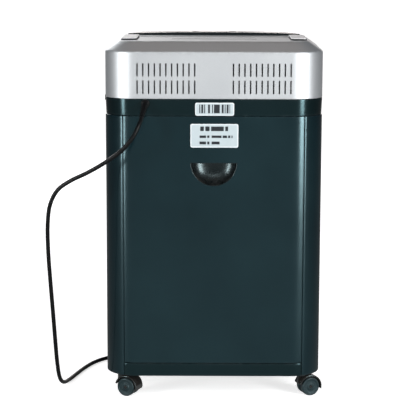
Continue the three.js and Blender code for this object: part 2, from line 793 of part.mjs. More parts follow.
const binSide = seamHalfWidth - binSideGap;
const binRearY = rear - binRearGap;
const binFrontY = -binRearY;
const binFloorZ = plinthZ + binFloorGap;
const binTopZ = bandZ - binTopGap;

function binBucket() {
  const outer = roundedRectangle(-binSide, binFrontY, binSide, binRearY, binCorner);
  const inner = roundedRectangle(
    -binSide + binWall, binFrontY + binWall, binSide - binWall, binRearY - binWall, binCorner - binWall);
  return raised(outer, binFloorZ, binTopZ, 5)
    .subtract(raised(inner, binFloorZ + binWall, binTopZ + 1, 5));
}

function windowShape(grow) {
  const z0 = baseZ + windowBottom - grow;
  const half = windowWidth / 2 + grow;
  return roundedRectangle(-half, z0, half, z0 + windowHeight + 2 * grow, half - 0.01);
}

function binFront() {
  const reach = seamHalfWidth - drawerGap;
  const panel = casingWall(0, wall, plinthZ + drawerGap, bandZ - drawerGap).intersect(
    box([-reach, front - 1, plinthZ], [reach, 0, bandZ]));
  return panel
    .subtract(alongY(scoopShape(), front - 1, front + 3 * wall, 12))
    .subtract(alongY(windowShape(0), front - 1, front + 3 * wall, 6));
}

function binWindow() {
  const back = front + wall + joint;
  const pane = alongY(windowShape(-joint), front + 0.6, back + 0.1, 4);
  return pane.add(alongY(windowShape(4), back, back + windowThickness, 4));
}

// ---- Labels ------------------------------------------------------------------------------------

function label({ width, height, bottom, middle }, face) {
  const z = baseZ + bottom;
  const shape = roundedRectangle(middle - width / 2, z, middle + width / 2, z + height, 2.5);
  return alongY(shape, face + joint, face + joint + labelThickness, 4);
}

// ---- Castors -----------------------------------------------------------------------------------

// Each castor is built with its stem on the origin and its wheels trailing along +X, then turned.
function forkSolid() {
  const across = webWidth / 2 + wheelGap + wheelWidth;
  const hoodRadius = wheelRadius + hoodClearance;
  const outer = hoodRadius + hoodThickness;
  const neckRadius = stemRadius + 4.5;
  const neckFoot = wheelRadius + hoodRadius + joint;
  const hood = new THREE.Shape();
  hood.absarc(castorTrail, wheelRadius, outer, -0.25, Math.PI * 0.93);
  hood.absarc(castorTrail, wheelRadius, hoodRadius, Math.PI * 0.93, -0.25, true);
  const web = new THREE.Shape();
  web.absarc(castorTrail, wheelRadius, hoodRadius + 1, -0.25, Math.PI * 0.93);
  web.lineTo(castorTrail, wheelRadius - 6);
  return joined([
    alongY(hood, -across, across, 9),
    alongY(web, -webWidth / 2, webWidth / 2, 8),
    box([-neckRadius, -webWidth / 2, wheelRadius + 4], [neckRadius, webWidth / 2, neckFoot + 1]),
    rod([0, 0, neckFoot], [0, 0, castorHeight - joint], neckRadius),
    rod([0, 0, castorHeight - 1], [0, 0, castorHeight + stemLength], stemRadius),
    rod([castorTrail, -across, wheelRadius], [castorTrail, across, wheelRadius], castorAxleRadius),
  ]);
}

function wheelSolid(sign) {
  const inner = sign * (webWidth / 2 + wheelGap);
  const outer = sign * (webWidth / 2 + wheelGap + wheelWidth);
  const dish = sign * 1.5;
  const bore = castorAxleRadius + wheelGap;
  const points = [
    [bore, inner], [wheelRadius - 1, inner], [wheelRadius, inner + sign], [wheelRadius, outer - sign],
    [wheelRadius - 1, outer], [wheelRadius - 3.5, outer], [wheelRadius - 4.5, outer - dish],
    [bore, outer - dish], [bore, inner],
  ].map(([radius, y]) => new THREE.Vector2(radius, y));
  return solid(new THREE.LatheGeometry(points, 20).translate(castorTrail, 0, wheelRadius));
}

// ---- Mains lead --------------------------------------------------------------------------------

function strainRelief() {
  const [x, y, z] = glandMiddle;
  const collar = rod([x, y + joint, z], [x, y + collarDepth, z], reliefTopRadius + 1.5, reliefTopRadius);
  const plug = rod([x, y - wall - 5, z], [x, y + 1, z], reliefTopRadius - 0.5);
  const end = new THREE.Vector3(...cordRoute[0]);
  const next = new THREE.Vector3(...cordRoute[1]);
  const back = next.clone().sub(end).normalize().multiplyScalar(joint);
  const tip = end.sub(back).toArray();
  const sleeve = rod([x, y + collarDepth - 0.8, z], tip, reliefTopRadius, reliefEndRadius);
  return joined([collar, plug, sleeve]);
}

function tube(route, steps) {
  const curve = new THREE.CatmullRomCurve3(route.map((p) => new THREE.Vector3(...p)), false, 'centripetal');
  const section = new THREE.Shape();
  const sides = 8;
  for (let i = 0; i < sides; i++) {
    const angle = ((i + 0.5) * 2 * Math.PI) / sides;
    const point = [cordRadius * Math.cos(angle), cordRadius * Math.sin(angle)];
    if (i === 0) section.moveTo(...point);
    else section.lineTo(...point);
  }
  return solid(new THREE.ExtrudeGeometry(section, { steps, extrudePath: curve, bevelEnabled: false }));
}

// The coil's outer shape is a ring round all of its turns.
function coilRing() {
  const diameter = 2 * cordRadius;
  const halfWide = ((coilTurnsWide + 1) * diameter) / 2 + 0.4;
  const high = coilTurnsHigh * diameter;
  const low = joint / 3;
  const points = [
    [coilRadius - halfWide, low + 2], [coilRadius - halfWide + 2, low],
    [coilRadius + halfWide - 2, low], [coilRadius + halfWide, low + 2],
    [coilRadius + halfWide, high - 1], [coilRadius + halfWide - 2, high + 1],
    [coilRadius - halfWide + 2, high + 1], [coilRadius - halfWide, high - 1],
    [coilRadius - halfWide, low + 2],
  ].map(([radius, z]) => new THREE.Vector2(radius, z));
  const ring = new THREE.LatheGeometry(points, 20).rotateX(Math.PI / 2);
  return solid(ring.translate(coilMiddle[0], coilMiddle[1], 0));
}

function mainsPlug() {
  const [x, y, z] = tailRoute[tailRoute.length - 1];
  const end = x - joint;
  const start = end - plugLength;
  const middle = Math.max(z, plugHeight / 2 + 0.1);
  const outline = polygon([
    [start, y - plugWidth / 2], [end - 14, y - plugWidth / 2], [end, y - 5], [end, y + 5],
    [end - 14, y + plugWidth / 2], [start, y + plugWidth / 2],
  ]);
  const body = raised(outline, middle - plugHeight / 2, middle + plugHeight / 2);
  const pins = [-1, 1].map((sign) => {
    const pinY = y + sign * pinSpacing;
    const inside = sign * (pinSpacing - plugWidth / 2 + pinRadius + 0.5);
    return rod([start + 1, pinY - inside, middle], [start - pinLength, pinY - inside, middle], pinRadius);
  });
  return joined([body, ...pins]);
}

// ---- The assembly --------------------------------------------------------------------------------

const finishes = {
  silver: new THREE.MeshStandardMaterial({ color: 0xd6dbdf, roughness: 0.4, metalness: 0.5 }),
  black: new THREE.MeshStandardMaterial({ color: 0x16202a, roughness: 0.45, metalness: 0 }),
  gloss: new THREE.MeshStandardMaterial({ color: 0x060809, roughness: 0.12, metalness: 0 }),
  dark: new THREE.MeshStandardMaterial({ color: 0x202428, roughness: 0.6, metalness: 0 }),
  pale: new THREE.MeshStandardMaterial({ color: 0xc9ccd0, roughness: 0.5, metalness: 0 }),
  label: new THREE.MeshStandardMaterial({ color: 0xf0f0ee, roughness: 0.6, metalness: 0 }),
  window: new THREE.MeshStandardMaterial({ color: 0x52606a, roughness: 0.1, metalness: 0 }),
  steel: new THREE.MeshStandardMaterial({ color: 0x9a9ea2, roughness: 0.35, metalness: 1 }),
  motor: new THREE.MeshStandardMaterial({ color: 0x6f767c, roughness: 0.45, metalness: 0.8 }),
  nylon: new THREE.MeshStandardMaterial({ color: 0xe8e4d8, roughness: 0.5, metalness: 0 }),
  board: new THREE.MeshStandardMaterial({ color: 0x1d5a35, roughness: 0.5, metalness: 0 }),
  lens: new THREE.MeshStandardMaterial({ color: 0x2fae4a, roughness: 0.2, metalness: 0 }),
  tread: new THREE.MeshStandardMaterial({ color: 0x2a3036, roughness: 0.5, metalness: 0 }),
  cord: new THREE.MeshStandardMaterial({ color: 0x0c0d0e, roughness: 0.5, metalness: 0 }),
};

const shredder = new THREE.Group();

function place(name, part, finish, parent = shredder) {
  const mesh = new THREE.Mesh(geometryOf(part), finishes[finish]);
  mesh.name = name;
  parent.add(mesh);
}

// Cabinet
place('base_tray', baseTray(), 'black');
place('side_panel_right', sidePanel(1), 'black');
place('side_panel_left', sidePanel(-1), 'black');
place('rear_panel', rearPanel(), 'black');
place('rear_grip_cup', gripCup(rear - rearPanelInset - wall - joint, 1), 'gloss');

// Head
place('head_base', headBase(), 'black');
place('top_cover', topCover(), 'silver');
place('control_fascia', fascia(), 'black');
place('side_cap_right', sideCap(1), 'silver');
place('side_cap_left', sideCap(-1), 'silver');
place('paper_throat', throat(paperSlotY, paperSlotWidth, paperSlotOpening, throatDepth, 0), 'dark');
place('disc_throat', throat(discSlotY, discSlotWidth, discSlotOpening, throatDepth - 6, 37), 'dark');
for (const { name, x } of buttonPlaces) place(name, button(x), 'dark');
place('indicator_lens', rod(
  [0, buttonY, topZ - 6], [0, buttonY, topZ + fasciaRise + buttonRise], lensRadius, lensRadius, 12), 'lens');
place('switch_bezel', switchBezel(), 'pale');
place('power_rocker', rocker(), 'black');
place('serial_label', label(serialLabel, rear), 'label');
place('rating_label', label(ratingLabel, rear - rearPanelInset), 'label');

// Cutting unit and drive
place('cutter_rear', cutter(rearShaftY, 0, finalX + finalGear.width), 'steel');
place('cutter_front', cutter(frontShaftY, cutterPitch / 2, timingX + timingGear.width), 'steel');
place('stripper_comb_rear', stripperComb(rearShaftY, 0, 1), 'dark');
place('stripper_comb_front', stripperComb(frontShaftY, cutterPitch / 2 - cutterPitch, -1), 'dark');
place('unit_plate_left', sidePlateSolid(-plateOuterX, 0), 'steel');
place('unit_plate_right', sideOfMotorPlate(), 'steel');
for (const { name, y, z } of tieBars) {
  place(name, rod([-plateOuterX, y, z], [plateOuterX, y, z], tieBarRadius), 'steel');
}
const shaftBore = shaftRadius + joint;
place('timing_gear_rear', gearSolid(timingGear, rearShaftPlace, timingX, Math.PI, shaftBore), 'steel');
place('timing_gear_front', gearSolid(
  timingGear, frontShaftPlace, timingX, Math.PI / timingGear.teeth, shaftBore), 'steel');
place('final_gear', gearSolid(
  finalGear, rearShaftPlace, finalX, directionAngle(rearShaftPlace, clusterPlace), shaftBore), 'nylon');
place('cluster_gear', clusterGear(), 'nylon');
place('cluster_axle', rod(
  [plateX, ...clusterPlace], [gearEndX + 2, ...clusterPlace], clusterAxleRadius), 'steel');
place('motor_body', motorBody(), 'motor');
place('motor_shaft', motorShaft(), 'steel');
place('control_board', controlBoard(), 'board');
place('bin_sensor', binSensor(), 'dark');

// Bin
place('bin_bucket', binBucket(), 'dark');
place('bin_front', binFront(), 'black');
place('bin_window', binWindow(), 'window');
place('bin_grip_cup', gripCup(front + wall + joint, -1), 'gloss');

// Castors
for (const { name, x, y, trail } of stems) {
  const castor = new THREE.Group();
  castor.position.set(x, y, 0);
  castor.rotation.z = THREE.MathUtils.degToRad(trail);
  shredder.add(castor);
  place('castor_fork_' + name, forkSolid(), 'gloss', castor);
  place('castor_wheel_a_' + name, wheelSolid(1), 'tread', castor);
  place('castor_wheel_b_' + name, wheelSolid(-1), 'tread', castor);
}

// Mains lead
place('strain_relief', strainRelief(), 'cord');
place('power_cord', tube(cordRoute, 66), 'cord');
place('cord_coil', coilRing(), 'cord');
place('cord_tail', tube(tailRoute, 6), 'cord');
place('mains_plug', mainsPlug(), 'cord');

export default shredder;
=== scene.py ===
import math

import bmesh
import bpy
import numpy as np
from mathutils import Matrix, Vector


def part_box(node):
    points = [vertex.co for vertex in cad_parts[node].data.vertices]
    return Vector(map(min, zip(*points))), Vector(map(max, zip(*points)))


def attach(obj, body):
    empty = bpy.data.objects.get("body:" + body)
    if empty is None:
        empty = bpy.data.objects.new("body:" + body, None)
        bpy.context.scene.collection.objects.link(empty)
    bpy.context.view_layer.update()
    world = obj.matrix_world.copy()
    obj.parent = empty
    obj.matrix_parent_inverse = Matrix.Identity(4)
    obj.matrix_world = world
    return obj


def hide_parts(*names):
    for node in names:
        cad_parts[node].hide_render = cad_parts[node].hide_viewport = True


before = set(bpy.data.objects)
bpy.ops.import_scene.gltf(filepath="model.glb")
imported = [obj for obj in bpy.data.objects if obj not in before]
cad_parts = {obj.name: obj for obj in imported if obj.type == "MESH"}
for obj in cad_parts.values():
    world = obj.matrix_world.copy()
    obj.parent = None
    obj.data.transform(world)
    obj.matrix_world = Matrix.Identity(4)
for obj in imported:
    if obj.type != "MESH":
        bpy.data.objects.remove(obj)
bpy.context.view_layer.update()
mm = 0.001
print("stage: frame loaded,", len(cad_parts), "nodes")


# Camera

view = {
    "lens": 136.3,             # mm on a 36 mm sensor
    "back": 2.440,             # behind the rear face
    "height": 0.7188,
    "aside": 0.0055,
    "pitch": 9.58,             # degrees down
    "roll": 0.2,
}


def addCamera(v):
    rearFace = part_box("top_cover")[1].y
    data = bpy.data.cameras.new("camera")
    data.lens = v["lens"]
    data.sensor_width = 36
    camera = bpy.data.objects.new("camera", data)
    turn = Matrix.Rotation(math.pi, 4, "Z") @ Matrix.Rotation(math.radians(90 - v["pitch"]), 4, "X")
    camera.matrix_world = (
        Matrix.Translation((v["aside"], rearFace + v["back"], v["height"]))
        @ turn @ Matrix.Rotation(math.radians(v["roll"]), 4, "Z")
    )
    bpy.context.scene.collection.objects.link(camera)
    bpy.context.scene.camera = camera


addCamera(view)


# Mesh tools: every surface is a grid of points, and parts are joined into one mesh

def gridFaces(nu, nv, wrapU=False, wrapV=False):
    # quads between neighbouring rows u and columns v; a wrapped side joins its last row to its first
    u, v = np.meshgrid(np.arange(nu - (not wrapU)), np.arange(nv - (not wrapV)), indexing="ij")
    un, vn = (u + 1) % nu, (v + 1) % nv
    return np.stack([u * nv + v, un * nv + v, un * nv + vn, u * nv + vn], -1).reshape(-1, 4).tolist()


def gridPart(points, wrapU=False, wrapV=False, capFirst=False, capLast=False, wear=None):
    # points[u, v] is a place; a capped end closes its wrapped row of points with one face
    nu, nv = points.shape[:2]
    faces = gridFaces(nu, nv, wrapU, wrapV)
    if capFirst:
        faces.append((np.arange(nu) * nv).tolist())
    if capLast:
        faces.append((np.arange(nu) * nv + nv - 1)[::-1].tolist())
    wearValues = np.zeros((nu, nv)) if wear is None else np.broadcast_to(wear, (nu, nv))
    return points.reshape(-1, 3), faces, wearValues.reshape(-1)


def meshOf(name, parts, merge=1e-6):
    # joins parts, merges their doubles and turns their faces outwards
    points, faces, wear, start = [], [], [], 0
    for partPoints, partFaces, partWear in parts:
        points.append(partPoints)
        wear.append(partWear)
        faces += [[i + start for i in face] for face in partFaces]
        start += len(partPoints)
    mesh = bpy.data.meshes.new(name)
    mesh.from_pydata(np.concatenate(points).tolist(), [], faces)
    mesh.attributes.new("wear", "FLOAT", "POINT").data.foreach_set("value", np.concatenate(wear))
    work = bmesh.new()
    work.from_mesh(mesh)
    bmesh.ops.remove_doubles(work, verts=work.verts, dist=merge)
    bmesh.ops.recalc_face_normals(work, faces=work.faces)
    work.to_mesh(mesh)
    work.free()
    return mesh


def smooth(mesh, degrees=32):
    mesh.polygons.foreach_set("use_smooth", np.ones(len(mesh.polygons), bool))
    mesh.set_sharp_from_angle(angle=math.radians(degrees))


def objectOf(name, mesh):
    piece = bpy.data.objects.new(name, mesh)
    bpy.context.scene.collection.objects.link(piece)
    return piece


def applyModifiers(piece):
    bpy.context.view_layer.update()
    made = bpy.data.meshes.new_from_object(piece.evaluated_get(bpy.context.evaluated_depsgraph_get()))
    piece.modifiers.clear()
    piece.data = made


def cutAway(piece, cutters):
    # takes the cutter parts away, each a closed shell clear of the others
    cutter = objectOf(piece.name + "Cutter", meshOf(piece.name + "Cutter", cutters))
    cut = piece.modifiers.new("cut", "BOOLEAN")
    cut.object = cutter
    cut.solver = "EXACT"
    applyModifiers(piece)
    bpy.data.objects.remove(cutter)


def carved(name, base, cutters):
    piece = objectOf(name, meshOf(name, base))
    cutAway(piece, cutters)
    return piece


def finished(piece, body, material, replaced=(), degrees=32, bevel=0, weighted=False):
    # names the finish, softens edges and sends the piece with its body
    if bevel:
        edge = piece.modifiers.new("edges", "BEVEL")
        edge.width = bevel
        edge.segments = 3
        edge.limit_method = "ANGLE"
        edge.angle_limit = math.radians(35)
        edge.harden_normals = True
    smooth(piece.data, degrees)
    if weighted:
        normals = piece.modifiers.new("normals", "WEIGHTED_NORMAL")
        normals.keep_sharp = True
    piece.data.materials.clear()
    piece.data.materials.append(material)
    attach(piece, body)
    if replaced:
        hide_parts(*replaced)
    return piece


def boxPart(low, high):
    low, high = np.array(low, float), np.array(high, float)
    x, y, z = [(low[i], high[i]) for i in range(3)]
    points = np.array([[i, j, k] for i in x for j in y for k in z])
    faces = [[0, 1, 3, 2], [4, 6, 7, 5], [0, 4, 5, 1], [2, 3, 7, 6], [0, 2, 6, 4], [1, 5, 7, 3]]
    return points, faces, np.zeros(8)


def prismPart(outline, axis, low, high):
    # a closed outline (n, 2) in the plane across the axis, carried from low to high along it
    n = len(outline)
    grid = np.zeros((n, 2, 3))
    others = [i for i in range(3) if i != axis]
    grid[:, :, others[0]] = outline[:, None, 0]
    grid[:, :, others[1]] = outline[:, None, 1]
    grid[:, 0, axis] = low
    grid[:, 1, axis] = high
    return gridPart(grid, wrapU=True, capFirst=True, capLast=True)


def turnedPart(profile, centre, axis, steps=48, wear=None):
    # a profile of (radius, distance along the axis) turned about an axis through centre:
    # p = centre + d a + r (cos t e + sin t f), with e and f across the axis a
    a = np.array(axis, float) / np.linalg.norm(axis)
    e = np.cross(a, [0.0, 0.0, 1.0] if abs(a[2]) < 0.9 else [1.0, 0.0, 0.0])
    e /= np.linalg.norm(e)
    f = np.cross(a, e)
    t = np.linspace(0, 2 * np.pi, steps, endpoint=False)
    ring = np.cos(t)[:, None] * e + np.sin(t)[:, None] * f
    r, d = np.array(profile, float).T
    points = np.array(centre) + d[None, :, None] * a + r[None, :, None] * ring[:, None, :]
    closed = r[0] > 1e-9
    return gridPart(points, wrapU=True, capFirst=closed, capLast=r[-1] > 1e-9, wear=wear)


def filleted(points, radii, steps=5, closed=False):
    # a polyline with its corners rounded by quadratic curves that start a radius before each corner
    points = np.array(points, float)
    radii = np.broadcast_to(radii, len(points))
    out = []
    for i, (corner, radius) in enumerate(zip(points, radii)):
        before, after = points[i - 1], points[(i + 1) % len(points)]
        if radius <= 0 or (not closed and i in (0, len(points) - 1)):
            out.append(corner[None])
            continue
        a = corner + (before - corner) * min(0.49, radius / np.linalg.norm(before - corner))
        b = corner + (after - corner) * min(0.49, radius / np.linalg.norm(after - corner))
        t = np.linspace(0, 1, steps)[:, None]
        out.append((1 - t) ** 2 * a + 2 * t * (1 - t) * corner + t ** 2 * b)
    return np.concatenate(out)


def withRows(points, near=4 * mm, closed=False):
    # adds a point a short way in from both ends of each long stretch; wear is 1 at the bends, 0 between
    ends = np.roll(points, -1, axis=0) if closed else np.vstack([points[1:], points[-1:]])
    out, wear = [], []
    for a, b in zip(points, ends):
        reach = np.linalg.norm(b - a)
        out.append(a[None])
        wear.append([1.0])
        if reach > 3 * near:
            out.append(np.array([a + (b - a) * near / reach, b - (b - a) * near / reach]))
            wear.append([0.0, 0.0])
    return np.concatenate(out), np.concatenate(wear)


def roundedRect(lowA, highA, lowB, highB, radius, steps=5):
    # four quarter circles joined into a closed outline
    radius = max(min(radius, (highA - lowA) / 2 - 1e-6, (highB - lowB) / 2 - 1e-6), 1e-6)
    t = np.linspace(0, np.pi / 2, steps)
    centres = [(highA - radius, highB - radius, 0), (lowA + radius, highB - radius, 1),
               (lowA + radius, lowB + radius, 2), (highA - radius, lowB + radius, 3)]
    arcs = [
        np.stack([a + radius * np.cos(t + k * np.pi / 2), b + radius * np.sin(t + k * np.pi / 2)], -1)
        for a, b, k in centres
    ]
    return np.concatenate(arcs)


# Casing outline: a rounded rectangle in plan, measured along its length from the rear middle

hoodLow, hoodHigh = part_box("top_cover")
bandLow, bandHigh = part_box("head_base")
casing = {
    "side": hoodHigh.x,
    "rear": hoodHigh.y,
    "corner": 50 * mm,
    "bandBottom": bandLow.z,
    "hoodBottom": hoodLow.z,
    "top": hoodHigh.z,
    "wall": 3 * mm,
    "seam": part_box("side_panel_right")[0].x,
}


def casingKnots(c):
    r, a, b = c["corner"], c["side"] - c["corner"], c["rear"] - c["corner"]
    quarter = r * np.pi / 2
    steps = [0, a, quarter, 2 * b, quarter, 2 * a, quarter, 2 * b, quarter, a]
    centreX = [0, a, a, a, a, -a, -a, -a, -a, 0]
    centreY = [b, b, b, -b, -b, -b, -b, b, b, b]
    angle = np.radians([90, 90, 0, 0, -90, -90, -180, -180, -270, -270])
    return np.cumsum(steps), np.array(centreX), np.array(centreY), angle


def casingLine(s, inset=0.0):
    # p(s) = c(s) + (r - inset)(cos q, sin q): the centre c moves along the straight sides,
    # and the normal's angle q turns at the corners
    knots, centreX, centreY, angle = casingKnots(casing)
    q = np.interp(s, knots, angle)
    reach = casing["corner"] - inset
    x = np.interp(s, knots, centreX) + reach * np.cos(q)
    y = np.interp(s, knots, centreY) + reach * np.sin(q)
    return x, y


def casingSteps(cornerSteps=18, straightSteps=6):
    # places along the outline, closer together at the corners
    knots = casingKnots(casing)[0]
    counts = [straightSteps if i % 2 == 0 else cornerSteps for i in range(9)]
    spans = [np.linspace(knots[i], knots[i + 1], counts[i], endpoint=False) for i in range(9)]
    return np.concatenate(spans)


def loftPart(profile, wear=None, closed=False, cornerSteps=18):
    # a profile of (inset, z) carried round the casing's outline
    profile = np.array(profile, float)
    s = casingSteps(cornerSteps)
    x, y = casingLine(s[:, None], profile[None, :, 0])
    points = np.stack([x, y, np.broadcast_to(profile[:, 1], x.shape)], -1)
    return gridPart(points, wrapU=True, wrapV=closed, capFirst=not closed, capLast=not closed, wear=wear)


def wallPart(s0, s1, inset, thickness, z0, z1, edge, steps=60):
    # a wall along the outline from s0 to s1: its section is a rounded rectangle,
    # which shrinks by e(1 - sin t) at both ends so that the end edges are rounded too
    t = np.linspace(0, np.pi / 2, 4)
    shrink = edge * (1 - np.sin(t))
    along = edge * (1 - np.cos(t))
    knots = casingKnots(casing)[0]
    inner = np.unique(np.concatenate([np.linspace(s0 + edge, s1 - edge, steps),
                                      knots[(knots > s0 + edge) & (knots < s1 - edge)]]))
    s = np.concatenate([s0 + along[:-1], inner, (s1 - along[:-1])[::-1]])
    e = np.concatenate([shrink[:-1], np.zeros(len(inner)), shrink[:-1][::-1]])
    rings = [
        withRows(roundedRect(inset + k, inset + thickness - k, z0 + k, z1 - k, max(edge - k, 1e-5), 4),
                 closed=True)
        for k in e
    ]
    section = np.array([ring for ring, worn in rings])
    x, y = casingLine(s[:, None] % casingKnots(casing)[0][-1], section[:, :, 0])
    points = np.stack([x, y, section[:, :, 1]], -1).transpose(1, 0, 2)
    wear = np.array([worn for ring, worn in rings]).T
    wear[:, :3] = 1
    wear[:, -3:] = 1
    return gridPart(points, wrapU=True, capFirst=True, capLast=True, wear=wear)


def seamAt(x):
    # where the rear outline passes a distance x from the middle
    c = casing
    past = (x - (c["side"] - c["corner"])) / c["corner"]
    return c["side"] - c["corner"] + c["corner"] * math.asin(past)


outlineLength = casingKnots(casing)[0][-1]
seamRun = seamAt(casing["seam"])


# Shader node groups

def nodeGroup(name, inputs, outputs):
    tree = bpy.data.node_groups.new(name, "ShaderNodeTree")
    for label, kind, value in inputs:
        socket = tree.interface.new_socket(label, in_out="INPUT", socket_type="NodeSocket" + kind)
        if value is not None:
            socket.default_value = value
    for label, kind in outputs:
        tree.interface.new_socket(label, in_out="OUTPUT", socket_type="NodeSocket" + kind)
    return tree, add(tree, "NodeGroupInput"), add(tree, "NodeGroupOutput")


def add(tree, kind, inputs=(), **settings):
    # a node with its settings, and its sockets set or linked by name or number
    node = tree.nodes.new(kind)
    for key, value in settings.items():
        setattr(node, key, value)
    for key, value in dict(inputs).items():
        if isinstance(value, bpy.types.NodeSocket):
            tree.links.new(value, node.inputs[key])
        else:
            node.inputs[key].default_value = value
    return node


def maths(tree, operation, a, b=0.5, clamp=False):
    node = add(tree, "ShaderNodeMath", {0: a, 1: b}, operation=operation, use_clamp=clamp)
    return node.outputs[0]


def ranged(tree, value, low, high, toLow=0.0, toHigh=1.0):
    node = add(tree, "ShaderNodeMapRange", {
        "Value": value, "From Min": low, "From Max": high, "To Min": toLow, "To Max": toHigh})
    return node.outputs[0]


def mixed(tree, factor, a, b):
    node = add(tree, "ShaderNodeMix", {"Factor": factor}, data_type="RGBA")
    for socket, value in ((node.inputs[6], a), (node.inputs[7], b)):
        if isinstance(value, bpy.types.NodeSocket):
            tree.links.new(value, socket)
        else:
            socket.default_value = (*value, 1)
    return node.outputs[2]


def noise(tree, vector, scale, detail=3.0, rough=0.55):
    node = add(tree, "ShaderNodeTexNoise", {
        "Vector": vector, "Scale": scale, "Detail": detail, "Roughness": rough})
    return node.outputs["Fac"]


def makeMouldGrain():
    # spark-eroded mould texture: two sizes of noise give a height, a slow one gives colour drift
    tree, given, out = nodeGroup(
        "mouldGrain", [("Vector", "Vector", None), ("Scale", "Float", 1500.0)],
        [("Height", "Float"), ("Drift", "Float")])
    vector, scale = given.outputs["Vector"], given.outputs["Scale"]
    fine = noise(tree, vector, scale, 2.0)
    coarse = noise(tree, vector, maths(tree, "MULTIPLY", scale, 0.35), 2.0)
    height = maths(tree, "ADD", maths(tree, "MULTIPLY", fine, 0.65), maths(tree, "MULTIPLY", coarse, 0.35))
    tree.links.new(height, out.inputs["Height"])
    tree.links.new(noise(tree, vector, 9.0, 4.0), out.inputs["Drift"])
    return tree


def makeEdgeWear():
    # wear along edges: the piece's wear attribute broken up by noise
    tree, given, out = nodeGroup(
        "edgeWear", [("Vector", "Vector", None), ("Amount", "Float", 0.5)], [("Mask", "Float")])
    edge = add(tree, "ShaderNodeAttribute", attribute_name="wear").outputs["Fac"]
    patchy = ranged(tree, noise(tree, given.outputs["Vector"], 140.0, 4.0, 0.7), 0.42, 0.68)
    mask = maths(tree, "MULTIPLY", maths(tree, "POWER", edge, 2.0), patchy)
    tree.links.new(maths(tree, "MULTIPLY", mask, given.outputs["Amount"], True), out.inputs["Mask"])
    return tree


def makeDustFilm():
    # dust that settles on faces that look up, thicker in slow patches
    tree, given, out = nodeGroup(
        "dustFilm", [("Vector", "Vector", None), ("Amount", "Float", 0.2)], [("Mask", "Float")])
    normal = add(tree, "ShaderNodeNewGeometry").outputs["Normal"]
    up = add(tree, "ShaderNodeSeparateXYZ", {"Vector": normal}).outputs["Z"]
    patch = ranged(tree, noise(tree, given.outputs["Vector"], 22.0, 5.0, 0.65), 0.35, 0.75)
    mask = maths(tree, "MULTIPLY", ranged(tree, up, 0.3, 1.0), patch)
    tree.links.new(maths(tree, "MULTIPLY", mask, given.outputs["Amount"], True), out.inputs["Mask"])
    return tree


def makeBrushLines():
    # fine parallel scratches along one axis: noise stretched by the mapping's scale
    tree, given, out = nodeGroup(
        "brushLines", [("Vector", "Vector", None), ("Stretch", "Vector", None)], [("Lines", "Float")])
    scaled = add(tree, "ShaderNodeVectorMath", {0: given.outputs["Vector"], 1: given.outputs["Stretch"]},
                 operation="MULTIPLY").outputs[0]
    tree.links.new(noise(tree, scaled, 1.0, 3.0, 0.7), out.inputs["Lines"])
    return tree


mouldGrain = makeMouldGrain()
edgeWear = makeEdgeWear()
dustFilm = makeDustFilm()
brushLines = makeBrushLines()


def placed(tree, group, inputs):
    return add(tree, "ShaderNodeGroup", inputs, node_tree=group).outputs


def newMaterial(name, **constants):
    material = bpy.data.materials.new(name)
    material.use_nodes = True
    tree = material.node_tree
    shader = tree.nodes["Principled BSDF"]
    for key, value in constants.items():
        shader.inputs[key.replace("_", " ")].default_value = value
    where = add(tree, "ShaderNodeTexCoord").outputs["Object"]
    return material, tree, shader, where


def bumped(tree, shader, height, strength, distance):
    node = add(tree, "ShaderNodeBump", {"Height": height, "Strength": strength, "Distance": distance})
    tree.links.new(node.outputs[0], shader.inputs["Normal"])


# Finishes

def mouldedPlastic(name, look):
    # moulded plastic: grain in the bump, slow drift in colour, pale worn edges and a dust film
    tint = look.get("tint", (1, 1, 1))
    material, tree, shader, where = newMaterial(
        name, IOR=1.5, Specular_IOR_Level=look.get("gloss", 0.5), Specular_Tint=(*tint, 1))
    grain = placed(tree, mouldGrain, {"Vector": where, "Scale": look["grain"]})
    worn = placed(tree, edgeWear, {"Vector": where, "Amount": look["wear"]})["Mask"]
    dust = placed(tree, dustFilm, {"Vector": where, "Amount": look["dust"]})["Mask"]
    drift = ranged(tree, grain["Drift"], 0.3, 0.7)
    colour = mixed(tree, drift, look["colour"], look["colour2"])
    colour = mixed(tree, worn, colour, look["edge"])
    colour = mixed(tree, dust, colour, (0.42, 0.41, 0.39))
    tree.links.new(colour, shader.inputs["Base Color"])
    rough = ranged(tree, grain["Drift"], 0.3, 0.7, look["rough"] - 0.03, look["rough"] + 0.03)
    rough = maths(tree, "ADD", rough, maths(tree, "MULTIPLY", dust, 0.5), True)
    tree.links.new(rough, shader.inputs["Roughness"])
    bumped(tree, shader, grain["Height"], look["bump"], 0.00008)
    return material


cabinetPlastic = mouldedPlastic("cabinetPlastic", {
    "colour": (0.0003, 0.0055, 0.0080), "colour2": (0.0020, 0.0100, 0.0130), "edge": (0.05, 0.065, 0.07),
    "rough": 0.22, "grain": 1500.0, "bump": 0.3, "wear": 0.12, "dust": 0.03, "gloss": 0.50,
    "tint": (0.60, 0.92, 1.0)})
bandPlastic = mouldedPlastic("bandPlastic", {
    "colour": (0.0004, 0.0035, 0.0042), "colour2": (0.0012, 0.0050, 0.0060), "edge": (0.04, 0.05, 0.055),
    "rough": 0.19, "grain": 1700.0, "bump": 0.25, "wear": 0.18, "dust": 0.06, "gloss": 0.38,
    "tint": (0.55, 0.92, 1.0)})
darkPlastic = mouldedPlastic("darkPlastic", {
    "colour": (0.016, 0.018, 0.020), "colour2": (0.022, 0.024, 0.026), "edge": (0.08, 0.085, 0.09),
    "rough": 0.48, "grain": 1100.0, "bump": 0.5, "wear": 0.4, "dust": 0.2})
throatPlastic = mouldedPlastic("throatPlastic", {
    "colour": (0.004, 0.004, 0.0045), "colour2": (0.007, 0.007, 0.0075), "edge": (0.02, 0.02, 0.02),
    "rough": 0.6, "grain": 1100.0, "bump": 0.5, "wear": 0.3, "dust": 0.03, "gloss": 0.0})
